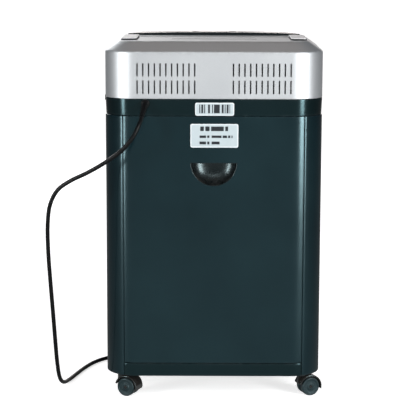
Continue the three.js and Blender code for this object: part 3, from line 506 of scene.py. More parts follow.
palePlastic = mouldedPlastic("palePlastic", {
    "colour": (0.52, 0.54, 0.56), "colour2": (0.58, 0.60, 0.61), "edge": (0.7, 0.71, 0.72),
    "rough": 0.4, "grain": 1300.0, "bump": 0.25, "wear": 0.4, "dust": 0.1})
wheelNylon = mouldedPlastic("wheelNylon", {
    "colour": (0.005, 0.012, 0.0145), "colour2": (0.009, 0.018, 0.021), "edge": (0.09, 0.11, 0.115),
    "rough": 0.38, "grain": 900.0, "bump": 0.4, "wear": 0.4, "dust": 0.12, "gloss": 0.4,
    "tint": (0.7, 0.95, 1.0)})
gearNylon = mouldedPlastic("gearNylon", {
    "colour": (0.66, 0.62, 0.50), "colour2": (0.72, 0.69, 0.58), "edge": (0.5, 0.46, 0.38),
    "rough": 0.42, "grain": 700.0, "bump": 0.3, "wear": 0.4, "dust": 0.0})


def makeSilverPaint(name, colour, colour2, metal):
    # silver paint: a metallic coat with fine flakes, a slow unevenness and edges rubbed dull
    material, tree, shader, where = newMaterial(name, IOR=1.5)
    grain = placed(tree, mouldGrain, {"Vector": where, "Scale": 2600.0})
    worn = placed(tree, edgeWear, {"Vector": where, "Amount": 0.3})["Mask"]
    dust = placed(tree, dustFilm, {"Vector": where, "Amount": 0.05})["Mask"]
    flake = add(tree, "ShaderNodeTexVoronoi", {"Vector": where, "Scale": 2400.0}).outputs["Distance"]
    base = mixed(tree, ranged(tree, grain["Drift"], 0.3, 0.7), colour, colour2)
    base = mixed(tree, ranged(tree, flake, 0.1, 0.7, 0.0, 0.35), base, (0.72, 0.74, 0.76))
    base = mixed(tree, worn, base, (0.35, 0.36, 0.37))
    base = mixed(tree, dust, base, (0.5, 0.49, 0.47))
    # pieces marked here turn near-black and lose their metal: a painted shadow for the shade in the gap round
    # the side caps
    paintedShadowSkirt = add(tree, "ShaderNodeAttribute", attribute_name="paintedShadowSkirt").outputs["Fac"]
    tree.links.new(mixed(tree, paintedShadowSkirt, base, (0.004, 0.004, 0.0045)), shader.inputs["Base Color"])
    tree.links.new(ranged(tree, paintedShadowSkirt, 0.0, 1.0, metal, 0.0), shader.inputs["Metallic"])
    rough = ranged(tree, grain["Drift"], 0.3, 0.7, 0.44, 0.50)
    tree.links.new(maths(tree, "ADD", rough, maths(tree, "MULTIPLY", dust, 0.4), True),
                   shader.inputs["Roughness"])
    bumped(tree, shader, grain["Height"], 0.25, 0.00005)
    return material


def makeGlossBlack(name, colour, smoothest):
    # polished black moulding: very fine swirl scratches in the roughness, a little dust
    material, tree, shader, where = newMaterial(name, IOR=1.52, Specular_Tint=(0.75, 0.96, 1.0, 1))
    dust = placed(tree, dustFilm, {"Vector": where, "Amount": 0.18})["Mask"]
    worn = placed(tree, edgeWear, {"Vector": where, "Amount": 0.4})["Mask"]
    swirl = noise(tree, where, 420.0, 5.0, 0.8)
    colour = mixed(tree, noise(tree, where, 14.0), colour, tuple(1.5 * c for c in colour))
    colour = mixed(tree, worn, colour, (0.09, 0.09, 0.09))
    tree.links.new(mixed(tree, dust, colour, (0.4, 0.39, 0.37)), shader.inputs["Base Color"])
    rough = ranged(tree, swirl, 0.4, 0.75, smoothest, smoothest + 0.11)
    tree.links.new(maths(tree, "ADD", rough, maths(tree, "MULTIPLY", dust, 0.6), True),
                   shader.inputs["Roughness"])
    return material


def makeSteel(name, colour, stretch, rough):
    # turned or rolled steel: stretched scratches in roughness and bump, faint oil tint
    material, tree, shader, where = newMaterial(name, Metallic=1.0)
    lines = placed(tree, brushLines, {"Vector": where, "Stretch": stretch})["Lines"]
    oil = ranged(tree, noise(tree, where, 60.0, 4.0), 0.35, 0.7)
    tint = mixed(tree, oil, colour, tuple(c * k for c, k in zip(colour, (0.82, 0.78, 0.7))))
    tree.links.new(mixed(tree, ranged(tree, lines, 0.3, 0.7, 0.0, 0.4), tint, (0.72, 0.72, 0.73)),
                   shader.inputs["Base Color"])
    tree.links.new(ranged(tree, lines, 0.3, 0.7, rough - 0.08, rough + 0.1), shader.inputs["Roughness"])
    bumped(tree, shader, lines, 0.3, 0.00005)
    return material


def makeCordSheath():
    # flexible sheath: soft sheen, extrusion lines and scuffs
    material, tree, shader, where = newMaterial("cordSheath", IOR=1.48, Specular_IOR_Level=0.16)
    scuff = ranged(tree, noise(tree, where, 180.0, 5.0, 0.7), 0.55, 0.8)
    colour = mixed(tree, scuff, (0.0025, 0.003, 0.0035), (0.009, 0.0095, 0.010))
    tree.links.new(colour, shader.inputs["Base Color"])
    tree.links.new(ranged(tree, scuff, 0.0, 1.0, 0.33, 0.5), shader.inputs["Roughness"])
    bumped(tree, shader, noise(tree, where, 900.0, 2.0), 0.2, 0.00006)
    return material


def makeSmokedWindow():
    # smoked clear plastic: dark glass-like body with faint hairlines
    material, tree, shader, where = newMaterial(
        "smokedWindow", IOR=1.49, Transmission_Weight=0.85)
    hair = placed(tree, brushLines, {"Vector": where, "Stretch": (900.0, 900.0, 14.0)})["Lines"]
    tree.links.new(mixed(tree, noise(tree, where, 12.0), (0.20, 0.23, 0.25), (0.26, 0.29, 0.31)),
                   shader.inputs["Base Color"])
    tree.links.new(ranged(tree, hair, 0.4, 0.8, 0.06, 0.16), shader.inputs["Roughness"])
    return material


def makeLens():
    material, tree, shader, where = newMaterial("lensGreen", IOR=1.49)
    glow = ranged(tree, noise(tree, where, 300.0), 0.3, 0.7)
    tree.links.new(mixed(tree, glow, (0.02, 0.34, 0.07), (0.05, 0.5, 0.12)), shader.inputs["Base Color"])
    tree.links.new(ranged(tree, glow, 0.0, 1.0, 0.12, 0.2), shader.inputs["Roughness"])
    return material


def makeBoard():
    # printed board: tracks as a distorted brick pattern under green resist
    material, tree, shader, where = newMaterial("boardGreen", IOR=1.5)
    tracks = add(tree, "ShaderNodeTexBrick", {
        "Vector": where, "Scale": 90.0, "Mortar Size": 0.035,
        "Color1": (0.010, 0.10, 0.035, 1), "Color2": (0.014, 0.12, 0.045, 1),
        "Mortar": (0.03, 0.22, 0.08, 1)})
    tree.links.new(tracks.outputs["Color"], shader.inputs["Base Color"])
    tree.links.new(ranged(tree, noise(tree, where, 80.0), 0.3, 0.7, 0.3, 0.45), shader.inputs["Roughness"])
    return material


def ramp(tree, value, stops):
    node = add(tree, "ShaderNodeValToRGB", {"Fac": value})
    elements = node.color_ramp.elements
    while len(elements) < len(stops):
        elements.new(0.5)
    for element, (place, grey) in zip(elements, stops):
        element.position = place
        element.color = (grey, grey, grey, 1)
    return node.outputs["Color"]


def makeFloor():
    # pale to the camera; in reflections it is bright behind the camera's side and dim at the far corners
    material, tree, shader, where = newMaterial("floorPale", Roughness=0.8)
    seen = add(tree, "ShaderNodeLightPath").outputs["Is Camera Ray"]
    flat = add(tree, "ShaderNodeVectorMath", {0: where, 1: (1, 1, 0)}, operation="MULTIPLY").outputs[0]
    unit = add(tree, "ShaderNodeVectorMath", {0: flat}, operation="NORMALIZE").outputs[0]
    along = add(tree, "ShaderNodeSeparateXYZ", {"Vector": unit}).outputs["Y"]
    glow = ramp(tree, ranged(tree, along, -1.0, 1.0),
                [(0.0, 0.35), (0.12, 0.05), (0.45, 0.10), (0.75, 0.25), (0.97, 0.46)])
    pale = mixed(tree, noise(tree, where, 2.0), (0.88, 0.88, 0.88), (0.90, 0.90, 0.90))
    tree.links.new(mixed(tree, seen, (0.15, 0.15, 0.15), pale), shader.inputs["Base Color"])
    shader.inputs["Specular IOR Level"].default_value = 0.1
    shader.inputs["Emission Strength"].default_value = 1.0
    away = add(tree, "ShaderNodeVectorMath", {0: flat}, operation="LENGTH").outputs["Value"]
    base = mixed(tree, ranged(tree, away, 0.4, 3.0), (0.72, 0.72, 0.72), (1.0, 1.0, 1.0))
    tree.links.new(mixed(tree, seen, glow, base), shader.inputs["Emission Color"])
    return material


silverPaint = makeSilverPaint("silverPaint", (0.495, 0.52, 0.54), (0.525, 0.548, 0.562), 0.82)
capPaint = makeSilverPaint("capPaint", (0.84, 0.85, 0.86), (0.88, 0.89, 0.90), 0.25)
glossBlack = makeGlossBlack("glossBlack", (0.004, 0.0043, 0.0048), 0.09)
castorGloss = makeGlossBlack("castorGloss", (0.010, 0.0085, 0.0078), 0.12)
cupBlack = makeGlossBlack("cupBlack", (0.002, 0.0030, 0.0034), 0.24)
cutterSteel = makeSteel("cutterSteel", (0.42, 0.43, 0.44), (40.0, 900.0, 900.0), 0.34)
plateSteel = makeSteel("plateSteel", (0.50, 0.51, 0.52), (700.0, 60.0, 700.0), 0.38)
motorSteel = makeSteel("motorSteel", (0.24, 0.25, 0.26), (700.0, 50.0, 50.0), 0.42)
cordSheath = makeCordSheath()
smokedWindow = makeSmokedWindow()
lensGreen = makeLens()
boardGreen = makeBoard()
print("stage: materials made")


# Hood

hood = {
    "chamferRise": 15 * mm,
    "chamferInset": 22 * mm,
    "edge": 2.6 * mm,
    "ventWidth": 2.2 * mm,
    "ventPitch": 8.85 * mm,
    "ventColumns": 11,
    "ventFirst": 29.7 * mm,
    "ventRows": [(7.5 * mm, 28.7 * mm), (34.2 * mm, 54.8 * mm)],
    "slotDepth": 9 * mm,       # front to back, with the throat's walls
    "slotGap": 0.3 * mm,
    "capGap": 1.3 * mm,
    "capSeat": 1.6 * mm,       # how deep the caps' seats are
}


def blockPart(inset, z0, z1, rise, topInset, edge, footEdge=0.0):
    # a solid of the casing's plan with a chamfered top, its edges rounded
    corner = [(inset + footEdge, z0), (inset, z0), (inset, z1 - rise),
              (inset + topInset, z1), (inset + topInset + 3 * mm, z1)]
    radii = [0, footEdge, edge, edge, 0]
    profile, wear = withRows(filleted(corner, radii, 6))
    return loftPart(profile, wear=wear[None, :], cornerSteps=20)


def buildHood(h):
    c = casing
    outer = blockPart(0, c["hoodBottom"], c["top"], h["chamferRise"], h["chamferInset"], h["edge"], 0.8 * mm)
    inner = blockPart(c["wall"], c["hoodBottom"] - 5 * mm, c["top"] - c["wall"],
                      h["chamferRise"], h["chamferInset"], h["edge"])
    shell = carved("hoodShell", [outer], [inner])
    cutters = []
    half = h["ventWidth"] / 2
    for low, high in h["ventRows"]:
        for column in range(h["ventColumns"]):
            for sign in (-1, 1):
                x = sign * (h["ventFirst"] + column * h["ventPitch"])
                slot = roundedRect(x - half, x + half, c["hoodBottom"] + low, c["hoodBottom"] + high, half, 4)
                cutters.append(prismPart(slot, 1, c["rear"] - 2 * c["wall"], c["rear"] + 5 * mm))
    for node in ("paper_throat", "disc_throat"):
        low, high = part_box(node)
        gap = h["slotGap"]
        cutters.append(boxPart(
            (low.x - gap, high.y - h["slotDepth"] - gap, c["top"] - 2 * c["wall"]),
            (high.x + gap, high.y + gap, c["top"] + 5 * mm)))
    for node in ("side_cap_left", "side_cap_right"):
        low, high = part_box(node)
        gap = h["capGap"]
        seat = roundedRect(low.x - gap, high.x + gap, low.y - gap, high.y + gap, 5 * mm, 6)
        cutters.append(prismPart(seat, 2, c["top"] - h["capSeat"], c["top"] + 5 * mm))
    cutters.append(fasciaSolid(0.3 * mm))
    cutAway(shell, cutters)
    shell.name = "hood"
    return finished(shell, "housing", silverPaint, ["top_cover"], 40, weighted=True)


fascia = {
    "rise": 5.2 * mm,
    "crown": 2.4 * mm,
    "seat": 4.5 * mm,
    "drop": 50 * mm,
    "wide": 141 * mm,
    "narrow": 118 * mm,
}


def fasciaSolid(grow):
    # its (y, z) section runs over the top, down the chamfer and down the front; its half width
    # narrows from the back edge to the chamfer, and the top is crowned: z <= top - c (x / w)^2
    f, c, h = fascia, casing, hood
    front, top = -c["rear"], c["top"]
    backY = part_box("control_fascia")[1].y
    proud = f["rise"] + grow
    slack = grow if grow else 0
    points = np.array([
        (backY + grow, top + proud), (front + h["chamferInset"], top + proud),
        (front - slack, top - h["chamferRise"] + proud), (front - slack, top - f["drop"] - grow),
        (front + f["seat"] + grow, top - f["drop"] - grow),
        (front + f["seat"] + grow, top - h["chamferRise"] - f["seat"] / 2 - grow),
        (front + h["chamferInset"] + 2 * mm, top - f["seat"] - grow),
        (backY + grow, top - f["seat"] - grow)])
    section = points
    narrowY = front + h["chamferInset"]
    share = np.clip((section[:, 0] - narrowY) / (backY - narrowY), 0, 1)
    halfWidth = f["narrow"] + (f["wide"] - f["narrow"]) * share + grow
    across = np.linspace(-1.0, 1.0, 41)
    grid = np.zeros((len(section), len(across), 3))
    grid[:, :, 0] = halfWidth[:, None] * across[None, :]
    grid[:, :, 1] = section[:, None, 0]
    ceiling = top + proud - f["crown"] * (grid[:, :, 0] / casing["seam"]) ** 2
    grid[:, :, 2] = np.minimum(section[:, None, 1], ceiling)
    return gridPart(grid, wrapU=True, capFirst=True, capLast=True)


def buildFascia():
    cutters = []
    gaps = {"forward_button": 0.4 * mm, "reverse_button": 0.4 * mm, "indicator_lens": 0.3 * mm}
    for node, gap in gaps.items():
        low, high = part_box(node)
        radius = (2.5 if node == "indicator_lens" else 7) * mm + gap
        centre = ((low.x + high.x) / 2, (low.y + high.y) / 2, casing["top"] - 8 * mm)
        cutters.append(turnedPart([(radius, 0), (radius, 20 * mm)], centre, (0, 0, 1), 40))
    panel = carved("fascia", [fasciaSolid(0)], cutters)
    return finished(panel, "housing", glossBlack, ["control_fascia"], 40, bevel=1.2 * mm)


def buildCap(side, node):
    # a pillow-topped bar: the plan is a rounded rectangle, the upper edge a quarter round
    low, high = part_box(node)
    t = np.linspace(0, np.pi / 2, 6)
    edge = 0.9 * mm
    insets = np.concatenate([[0, 0], edge * (1 - np.cos(t)), [edge + 3 * mm]])
    heights = np.concatenate([[low.z, high.z - 1.2 * mm], high.z - edge + edge * np.sin(t), [high.z]])
    rings = [roundedRect(low.x + i, high.x - i, low.y + i, high.y - i, 4 * mm - i * 0.5, 7) for i in insets]
    grid = np.array([np.column_stack([ring, np.full(len(ring), z)]) for ring, z in zip(rings, heights)])
    wear = np.exp(-np.abs(insets - edge / 2) / edge)
    part = gridPart(grid.transpose(1, 0, 2), wrapU=True, capFirst=True, capLast=True, wear=wear[None, :])
    piece = objectOf("sideCap" + side, meshOf("sideCap" + side, [part]))
    heights = np.array([v.co.z for v in piece.data.vertices])
    # the walls below the top edge are marked to be painted near-black, a painted shadow under and round the
    # cap
    paintedShadowSkirt = np.where(heights < high.z - 1.1 * mm, 1.0, 0.0)
    piece.data.attributes.new("paintedShadowSkirt", "FLOAT", "POINT").data.foreach_set("value", paintedShadowSkirt)
    return finished(piece, "housing", capPaint, [node], 40)


buildHood(hood)
buildFascia()
buildCap("Left", "side_cap_left")
buildCap("Right", "side_cap_right")
print("stage: hood, fascia and caps")


# Band under the hood

band = {
    "taper": 1.2 * mm,
    "edge": 0.8 * mm,
    "chute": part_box("cutter_rear"),
}


def buildBand(b):
    c = casing
    z0, z1 = c["bandBottom"], bandHigh.z
    outer = [(b["taper"] + 3 * mm, z0), (b["taper"], z0), (0, z1), (3 * mm, z1)]
    profile, wear = withRows(filleted(outer, [0, b["edge"], b["edge"], 0], 4))
    inset = c["wall"] + b["taper"]
    inner = loftPart([(inset, z0 + c["wall"]), (inset, z1 + 5 * mm)])
    ring = carved("band", [loftPart(profile, wear=wear[None, :], cornerSteps=20)], [inner])
    rearHigh = b["chute"][1]
    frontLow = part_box("cutter_front")[0]
    bezelLow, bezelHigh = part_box("switch_bezel")
    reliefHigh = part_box("strain_relief")[1]
    cutters = [
        boxPart((-111 * mm, frontLow.y - 2 * mm, z0 - 5 * mm), (111 * mm, rearHigh.y + 2 * mm, z0 + 5 * mm)),
        boxPart((c["side"] - 9 * mm, bezelLow.y + 1.7 * mm, bezelLow.z + 1.7 * mm),
                (c["side"] + 5 * mm, bezelHigh.y - 1.7 * mm, bezelHigh.z - 1.7 * mm)),
        turnedPart([(5.3 * mm, 0), (5.3 * mm, 12 * mm)],
                   (105.5 * mm, c["rear"] - 8 * mm, reliefHigh.z - 7 * mm), (0, 1, 0), 32),
    ]
    cutAway(ring, cutters)
    return finished(ring, "housing", bandPlastic, ["head_base"], 40, weighted=True)


buildBand(band)


# Cabinet panels

cabinet = {
    "edge": 0.9 * mm,
    "gap": 0.3 * mm,
    "rearInset": 0.8 * mm,
    "plinthTop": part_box("rear_panel")[0].z,
    "panelTop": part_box("rear_panel")[1].z,
    "scoopRadius": 36.4 * mm,
    "scoopTop": 380.8 * mm,
    "scoopDepth": 20 * mm,
    "scoopWall": 1.6 * mm,
}


def halfMoon(radius, top, steps=40):
    # the lower half of a circle closed by its diameter
    t = np.linspace(0, -np.pi, steps)
    return np.column_stack([radius * np.cos(t), top + radius * np.sin(t)])


def buildSidePanels(c):
    for side, sign in (("Right", 1), ("Left", -1)):
        low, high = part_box("side_panel_" + side.lower())
        run = (seamRun, outlineLength / 2 - seamRun)
        if sign < 0:
            run = (outlineLength / 2 + seamRun, outlineLength - seamRun)
        part = wallPart(*run, 0, casing["wall"], low.z, high.z, c["edge"], 90)
        piece = objectOf("sidePanel" + side, meshOf("sidePanel" + side, [part]))
        finished(piece, "housing", cabinetPlastic, ["side_panel_" + side.lower()], 40)


def buildRearPanel(c):
    # the panel runs through the outline's start, so it is built about the front and turned round
    reach = seamRun - c["gap"]
    half = outlineLength / 2
    points, faces, wear = wallPart(half - reach, half + reach, c["rearInset"], casing["wall"],
                                   c["plinthTop"], c["panelTop"], c["edge"], 90)
    points = points * np.array([-1, -1, 1])
    hole = prismPart(halfMoon(c["scoopRadius"], c["scoopTop"]), 1,
                     casing["rear"] - 4 * casing["wall"], casing["rear"] + 5 * mm)
    panel = carved("rearPanel", [(points, faces, wear)], [hole])
    finished(panel, "housing", cabinetPlastic, ["rear_panel"], 40, weighted=True)


def scoopParts(c, face, sign, depth):
    # x = r cos a cos b, z = top - r sin a cos b, depth d sin b: a quarter of an ellipsoid
    # under a flat ceiling
    r, top = c["scoopRadius"] - 0.2 * mm, c["scoopTop"] - 0.2 * mm
    a = np.linspace(0, np.pi, 49)
    b = np.linspace(0, np.pi / 2, 25)
    bowl = np.stack([
        r * np.cos(a)[:, None] * np.cos(b)[None, :],
        face - sign * depth * np.broadcast_to(np.sin(b)[None, :], (49, 25)),
        top - r * np.sin(a)[:, None] * np.cos(b)[None, :]], -1)
    s = np.linspace(0, 1, 13)
    ceiling = np.stack([
        r * np.cos(a)[:, None] * np.ones(13)[None, :],
        face - sign * depth * np.sin(a)[:, None] * s[None, :],
        np.full((49, 13), top)], -1)
    return [gridPart(bowl), gridPart(ceiling)]


def buildScoop(name, node, body, faceY, sign):
    c = cabinet
    parts = scoopParts(c, faceY, sign, c["scoopDepth"])
    cup = objectOf(name, meshOf(name, parts, 2e-5))
    wall = cup.modifiers.new("wall", "SOLIDIFY")
    wall.thickness = c["scoopWall"]
    wall.offset = 0
    wall.use_rim = True
    return finished(cup, body, cupBlack, [node], 50)


def buildBase(c):
    # plate, plinth strips front and rear, runners and castor bosses
    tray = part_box("base_tray")
    gap = casing["wall"] + c["gap"]
    z0 = tray[0].z
    z1 = z0 + 6 * mm
    plate = loftPart(filleted([(gap + 3 * mm, z0), (gap, z0), (gap, z1), (gap + 3 * mm, z1)],
                              [0, 0.8 * mm, 0.8 * mm, 0], 4))
    reach = seamRun - c["gap"]
    half = outlineLength / 2
    strip = wallPart(half - reach, half + reach, 0, 5.3 * mm, z0, c["plinthTop"] - c["gap"], c["edge"], 70)
    turned = (strip[0] * np.array([-1, -1, 1]), strip[1], strip[2])
    parts = [plate, strip, turned]
    for sign in (-1, 1):
        parts.append(boxPart((sign * 108 * mm - 6 * mm, -117 * mm, z0 + 5 * mm),
                             (sign * 108 * mm + 6 * mm, 117 * mm, 62.2 * mm)))
    for x in (-144 * mm, 144 * mm):
        for y in (-87.5 * mm, 87.5 * mm):
            ring = [(4.4 * mm, 0), (8 * mm, 0), (8 * mm, 20 * mm), (4.4 * mm, 20 * mm), (4.4 * mm, 0)]
            parts.append(turnedPart(filleted(ring, 0), (x, y, z0), (0, 0, 1), 28))
    piece = objectOf("baseTray", meshOf("baseTray", parts))
    finished(piece, "housing", bandPlastic, ["base_tray"], 40)


buildSidePanels(cabinet)
buildRearPanel(cabinet)
buildScoop("rearScoop", "rear_grip_cup", "housing", casing["rear"] - cabinet["scoopWall"], 1)
buildBase(cabinet)
print("stage: cabinet")


# Bin front, its window and scoop

binSettings = {
    "reach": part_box("bin_front")[1].x,
    "edge": 0.9 * mm,
    "windowHalf": 32 * mm,
    "windowLow": 135 * mm,
    "windowHigh": 305 * mm,
    "paneStep": 2.7 * mm,      # from the pane's face to its flange
    "paneFlange": 3.7,
}


def stadium(b, grow, steps=24):
    # two half circles joined by straight sides, in (x, z)
    r = b["windowHalf"] + grow
    t = np.linspace(0, np.pi, steps)
    top = np.column_stack([r * np.cos(t), b["windowHigh"] - b["windowHalf"] + r * np.sin(t)])
    bottom = np.column_stack([-r * np.cos(t), b["windowLow"] + b["windowHalf"] - r * np.sin(t)])
    return np.vstack([top, bottom])


def buildBinFront(b):
    low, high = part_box("bin_front")
    reach = seamAt(b["reach"])
    half = outlineLength / 2
    wall = wallPart(half - reach, half + reach, 0, casing["wall"], low.z, high.z, b["edge"], 90)
    near, far = -casing["rear"] - 5 * mm, -casing["rear"] + 4 * casing["wall"]
    holes = [
        prismPart(halfMoon(cabinet["scoopRadius"], cabinet["scoopTop"]), 1, near, far),
        prismPart(stadium(b, 0), 1, near, far),
    ]
    front = carved("binFront", [wall], holes)
    finished(front, "bin", cabinetPlastic, ["bin_front"], 40, weighted=True)


def buildBinWindow(b):
    # stadium rings from the pane's face back to its flange
    low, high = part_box("bin_window")
    step = low.y + b["paneStep"]
    loops = [(-0.9, low.y), (-0.3, low.y + 0.6 * mm), (-0.3, step),
             (b["paneFlange"], step), (b["paneFlange"], high.y)]
    rings = []
    for grow, y in loops:
        outline = stadium(b, grow * mm)
        rings.append(np.column_stack([outline[:, 0], np.full(len(outline), y), outline[:, 1]]))
    part = gridPart(np.stack(rings, 1), wrapU=True, capFirst=True, capLast=True)
    pane = objectOf("binWindow", meshOf("binWindow", [part]))
    finished(pane, "bin", smokedWindow, ["bin_window"], 30)


buildBinFront(binSettings)
buildScoop("binScoop", "bin_grip_cup", "bin", -casing["rear"] + cabinet["scoopWall"], -1)
buildBinWindow(binSettings)
print("stage: bin front")


# Buttons, lens and side switch

buttons = {
    "stem": 2,
    "cap": 7,
    "flange": 8.4,
    "flangeLow": 567.3,
    "flangeHigh": 569.2,
    "lens": 2.5,
}


def buildButtons(b):
    # turned caps with a flange below the panel and a dished top, and a domed lens
    stem, cap, flange, lens = b["stem"], b["cap"], b["flange"], b["lens"]
    for key in ("forward", "reverse"):
        low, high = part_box(key + "_button")
        place = ((low.x + high.x) / 2, (low.y + high.y) / 2, 0)
        top = high.z / mm
        profile = filleted(
            [(0, low.z / mm), (stem, low.z / mm), (stem, b["flangeLow"]), (flange, b["flangeLow"]),
             (flange, b["flangeHigh"]), (cap, b["flangeHigh"]),
             (cap, top - 0.9), (cap - 0.4, top), (cap - 1.6, top), (0, top - 0.7)],
            [0, 0.3, 0.3, 0.3, 0.3, 0.3, 0.4, 0.5, 2.5, 0], 6) * mm
        wear = np.exp(-np.abs(profile[:, 0] - (cap - 0.4) * mm) / (0.6 * mm))[None, :]
        part = turnedPart(profile, place, (0, 0, 1), 56, wear)
        piece = objectOf(key + "Button", meshOf(key + "Button", [part]))
        finished(piece, key + "_button", darkPlastic, [key + "_button"], 40)
    low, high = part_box("indicator_lens")
    top = high.z / mm
    profile = filleted([(0, low.z / mm), (lens, low.z / mm), (lens, top - 0.5), (lens - 0.4, top), (0, top)],
                       [0, 0.2, 0.4, 1.0, 0], 6) * mm
    place = ((low.x + high.x) / 2, (low.y + high.y) / 2, 0)
    piece = objectOf("indicatorLens", meshOf("indicatorLens", [turnedPart(profile, place, (0, 0, 1), 40)]))
    finished(piece, "housing", lensGreen, ["indicator_lens"], 40)


switch = {
    "middle": 471.2,
    "outer": (12, 6.75),
    "neck": (10, 4.75),
    "bore": (9.5, 5.0),
    "tilt": 8,
    "axis": 169,
    "inside": 161,             # where the bezel's neck ends inside the band
    "rockerHalf": (9, 4.35),
    "crest": 4.5,
    "saddle": 0.9,             # how much higher the crest is at its ends
    "root": 3.4,
}


def buildBezel(w):
    # the bezel is one loop of rounded rectangles: up its outside, over its lip and down its bore
    face = casing["side"] / mm
    loops = [(w["bore"], 0, w["inside"]), (w["neck"], 0, w["inside"]), (w["neck"], 0, face + 0.3),
             (w["outer"], 0, face + 0.3), (w["outer"], 0, face + 1.7),
             (w["outer"], 0.25, face + 2.2), (w["outer"], 0.8, face + 2.4),
             (w["bore"], -0.7, face + 2.4), (w["bore"], -0.2, face + 2.2), (w["bore"], 0, face + 1.7)]
    rings = []
    for (a, b), inset, x in loops:
        low, high = w["middle"] - b + inset, w["middle"] + b - inset
        ring = roundedRect(-a + inset, a - inset, low, high, 2 - inset / 2, 6)
        rings.append(np.column_stack([np.full(len(ring), x), ring]))
    grid = np.stack(rings, 1) * mm
    bezel = objectOf("switchBezel", meshOf("switchBezel", [gridPart(grid, wrapU=True, wrapV=True)]))
    finished(bezel, "housing", palePlastic, ["switch_bezel"], 40)


def buildRocker(w):
    # in plan a saddle x = crest + saddle t^2 over a narrower root, turned by the tilt
    a, b = w["rockerHalf"]
    t = np.linspace(-1, 1, 25)[:, None]
    crest = np.hstack([w["crest"] + w["saddle"] * t ** 2, (a - 0.3) * t])
    outline = np.vstack([[[-w["root"], -a + 2.6]], crest, [[-w["root"], a - 2.6]]]) * mm
    points, faces, wear = prismPart(outline, 2, -b * mm, b * mm)
    turn = math.radians(w["tilt"])
    spin = np.array([[math.cos(turn), -math.sin(turn), 0], [math.sin(turn), math.cos(turn), 0], [0, 0, 1]])
    points = points @ spin + np.array([w["axis"], 0, w["middle"]]) * mm
    rocker = objectOf("powerRocker", meshOf("powerRocker", [(points, faces, wear)]))
    finished(rocker, "rocker", glossBlack, ["power_rocker"], 30, bevel=0.5 * mm)


buildButtons(buttons)
buildBezel(switch)
buildRocker(switch)
print("stage: buttons and switch")


# Labels: generic bars, no lettering

def makeMarkBar():
    # one dark bar inside a box of (x, z), cut into dashes of an uneven pitch
    tree, given, out = nodeGroup(
        "markBar", [("Vector", "Vector", None), ("LowX", "Float", 0.0), ("HighX", "Float", 0.0),
                    ("LowZ", "Float", 0.0), ("HighZ", "Float", 0.0), ("Pitch", "Float", 0.001),
                    ("Fill", "Float", 0.6)],
        [("Mask", "Float")])
    parts = add(tree, "ShaderNodeSeparateXYZ", {"Vector": given.outputs["Vector"]}).outputs
    inX = maths(tree, "MULTIPLY", maths(tree, "GREATER_THAN", parts["X"], given.outputs["LowX"]),
                maths(tree, "LESS_THAN", parts["X"], given.outputs["HighX"]))
    inZ = maths(tree, "MULTIPLY", maths(tree, "GREATER_THAN", parts["Z"], given.outputs["LowZ"]),
                maths(tree, "LESS_THAN", parts["Z"], given.outputs["HighZ"]))
    step = maths(tree, "FLOOR", maths(tree, "DIVIDE", parts["X"], given.outputs["Pitch"]))
    chance = add(tree, "ShaderNodeTexWhiteNoise", {"W": step}, noise_dimensions="1D").outputs["Value"]
    dash = maths(tree, "LESS_THAN", chance, given.outputs["Fill"])
    mask = maths(tree, "MULTIPLY", maths(tree, "MULTIPLY", inX, inZ), dash)
    tree.links.new(mask, out.inputs["Mask"])
    return tree


markBar = makeMarkBar()
labels = {
    "serial_label": [(-25, 24, 458.2, 471.6, 1.5, 0.55)],
    "rating_label": [(-22, 21, 430.5, 437.5, 2.2, 0.86), (-30, 22.5, 419.8, 423.6, 1.7, 0.7),
                     (-9, 22.5, 409.8, 414.2, 1.7, 0.72)],
}


def makeLabelFilm(name, bars):
    # pale film with a lighter rim, faint smudges and the bars in dark grey
    material, tree, shader, where = newMaterial(name, IOR=1.45)
    smudge = ranged(tree, noise(tree, where, 60.0, 4.0), 0.35, 0.7)
    colour = mixed(tree, smudge, (0.40, 0.465, 0.49), (0.43, 0.495, 0.52))
    rim = add(tree, "ShaderNodeAttribute", attribute_name="wear").outputs["Fac"]
    colour = mixed(tree, rim, colour, (0.62, 0.66, 0.68))
    for x0, x1, z0, z1, pitch, fill in bars:
        mask = placed(tree, markBar, {
            "Vector": where, "LowX": x0 * mm, "HighX": x1 * mm, "LowZ": z0 * mm, "HighZ": z1 * mm,
            "Pitch": pitch * mm, "Fill": fill})["Mask"]
        colour = mixed(tree, mask, colour, (0.012, 0.016, 0.02))
    tree.links.new(colour, shader.inputs["Base Color"])
    tree.links.new(ranged(tree, smudge, 0.0, 1.0, 0.34, 0.46), shader.inputs["Roughness"])
    bumped(tree, shader, noise(tree, where, 500.0), 0.1, 0.00004)
    return material


def buildLabels():
    # rounded plates: rings of the outline step in towards the face, then close it
    for node, bars in labels.items():
        low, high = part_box(node)
        insets = np.array([0, 0, 0.12, 1.5, 1.6]) * mm
        depths = [low.y, high.y - 0.1 * mm, high.y, high.y, high.y]
        rings = []
        for i, y in zip(insets, depths):
            outline = roundedRect(low.x + i, high.x - i, low.z + i, high.z - i, 2.5 * mm - i / 2, 7)
            rings.append(np.column_stack([outline[:, 0], np.full(len(outline), y), outline[:, 1]]))
        part = gridPart(np.stack(rings, 1), wrapU=True, capFirst=True, capLast=True,
                        wear=np.array([[1, 1, 1, 1, 0]]))
        name = node.split("_")[0] + "Label"
        plate = objectOf(name, meshOf(name, [part]))
        finished(plate, "housing", makeLabelFilm(name, bars), [node], 40)


buildLabels()
print("stage: labels")


# Mains lead

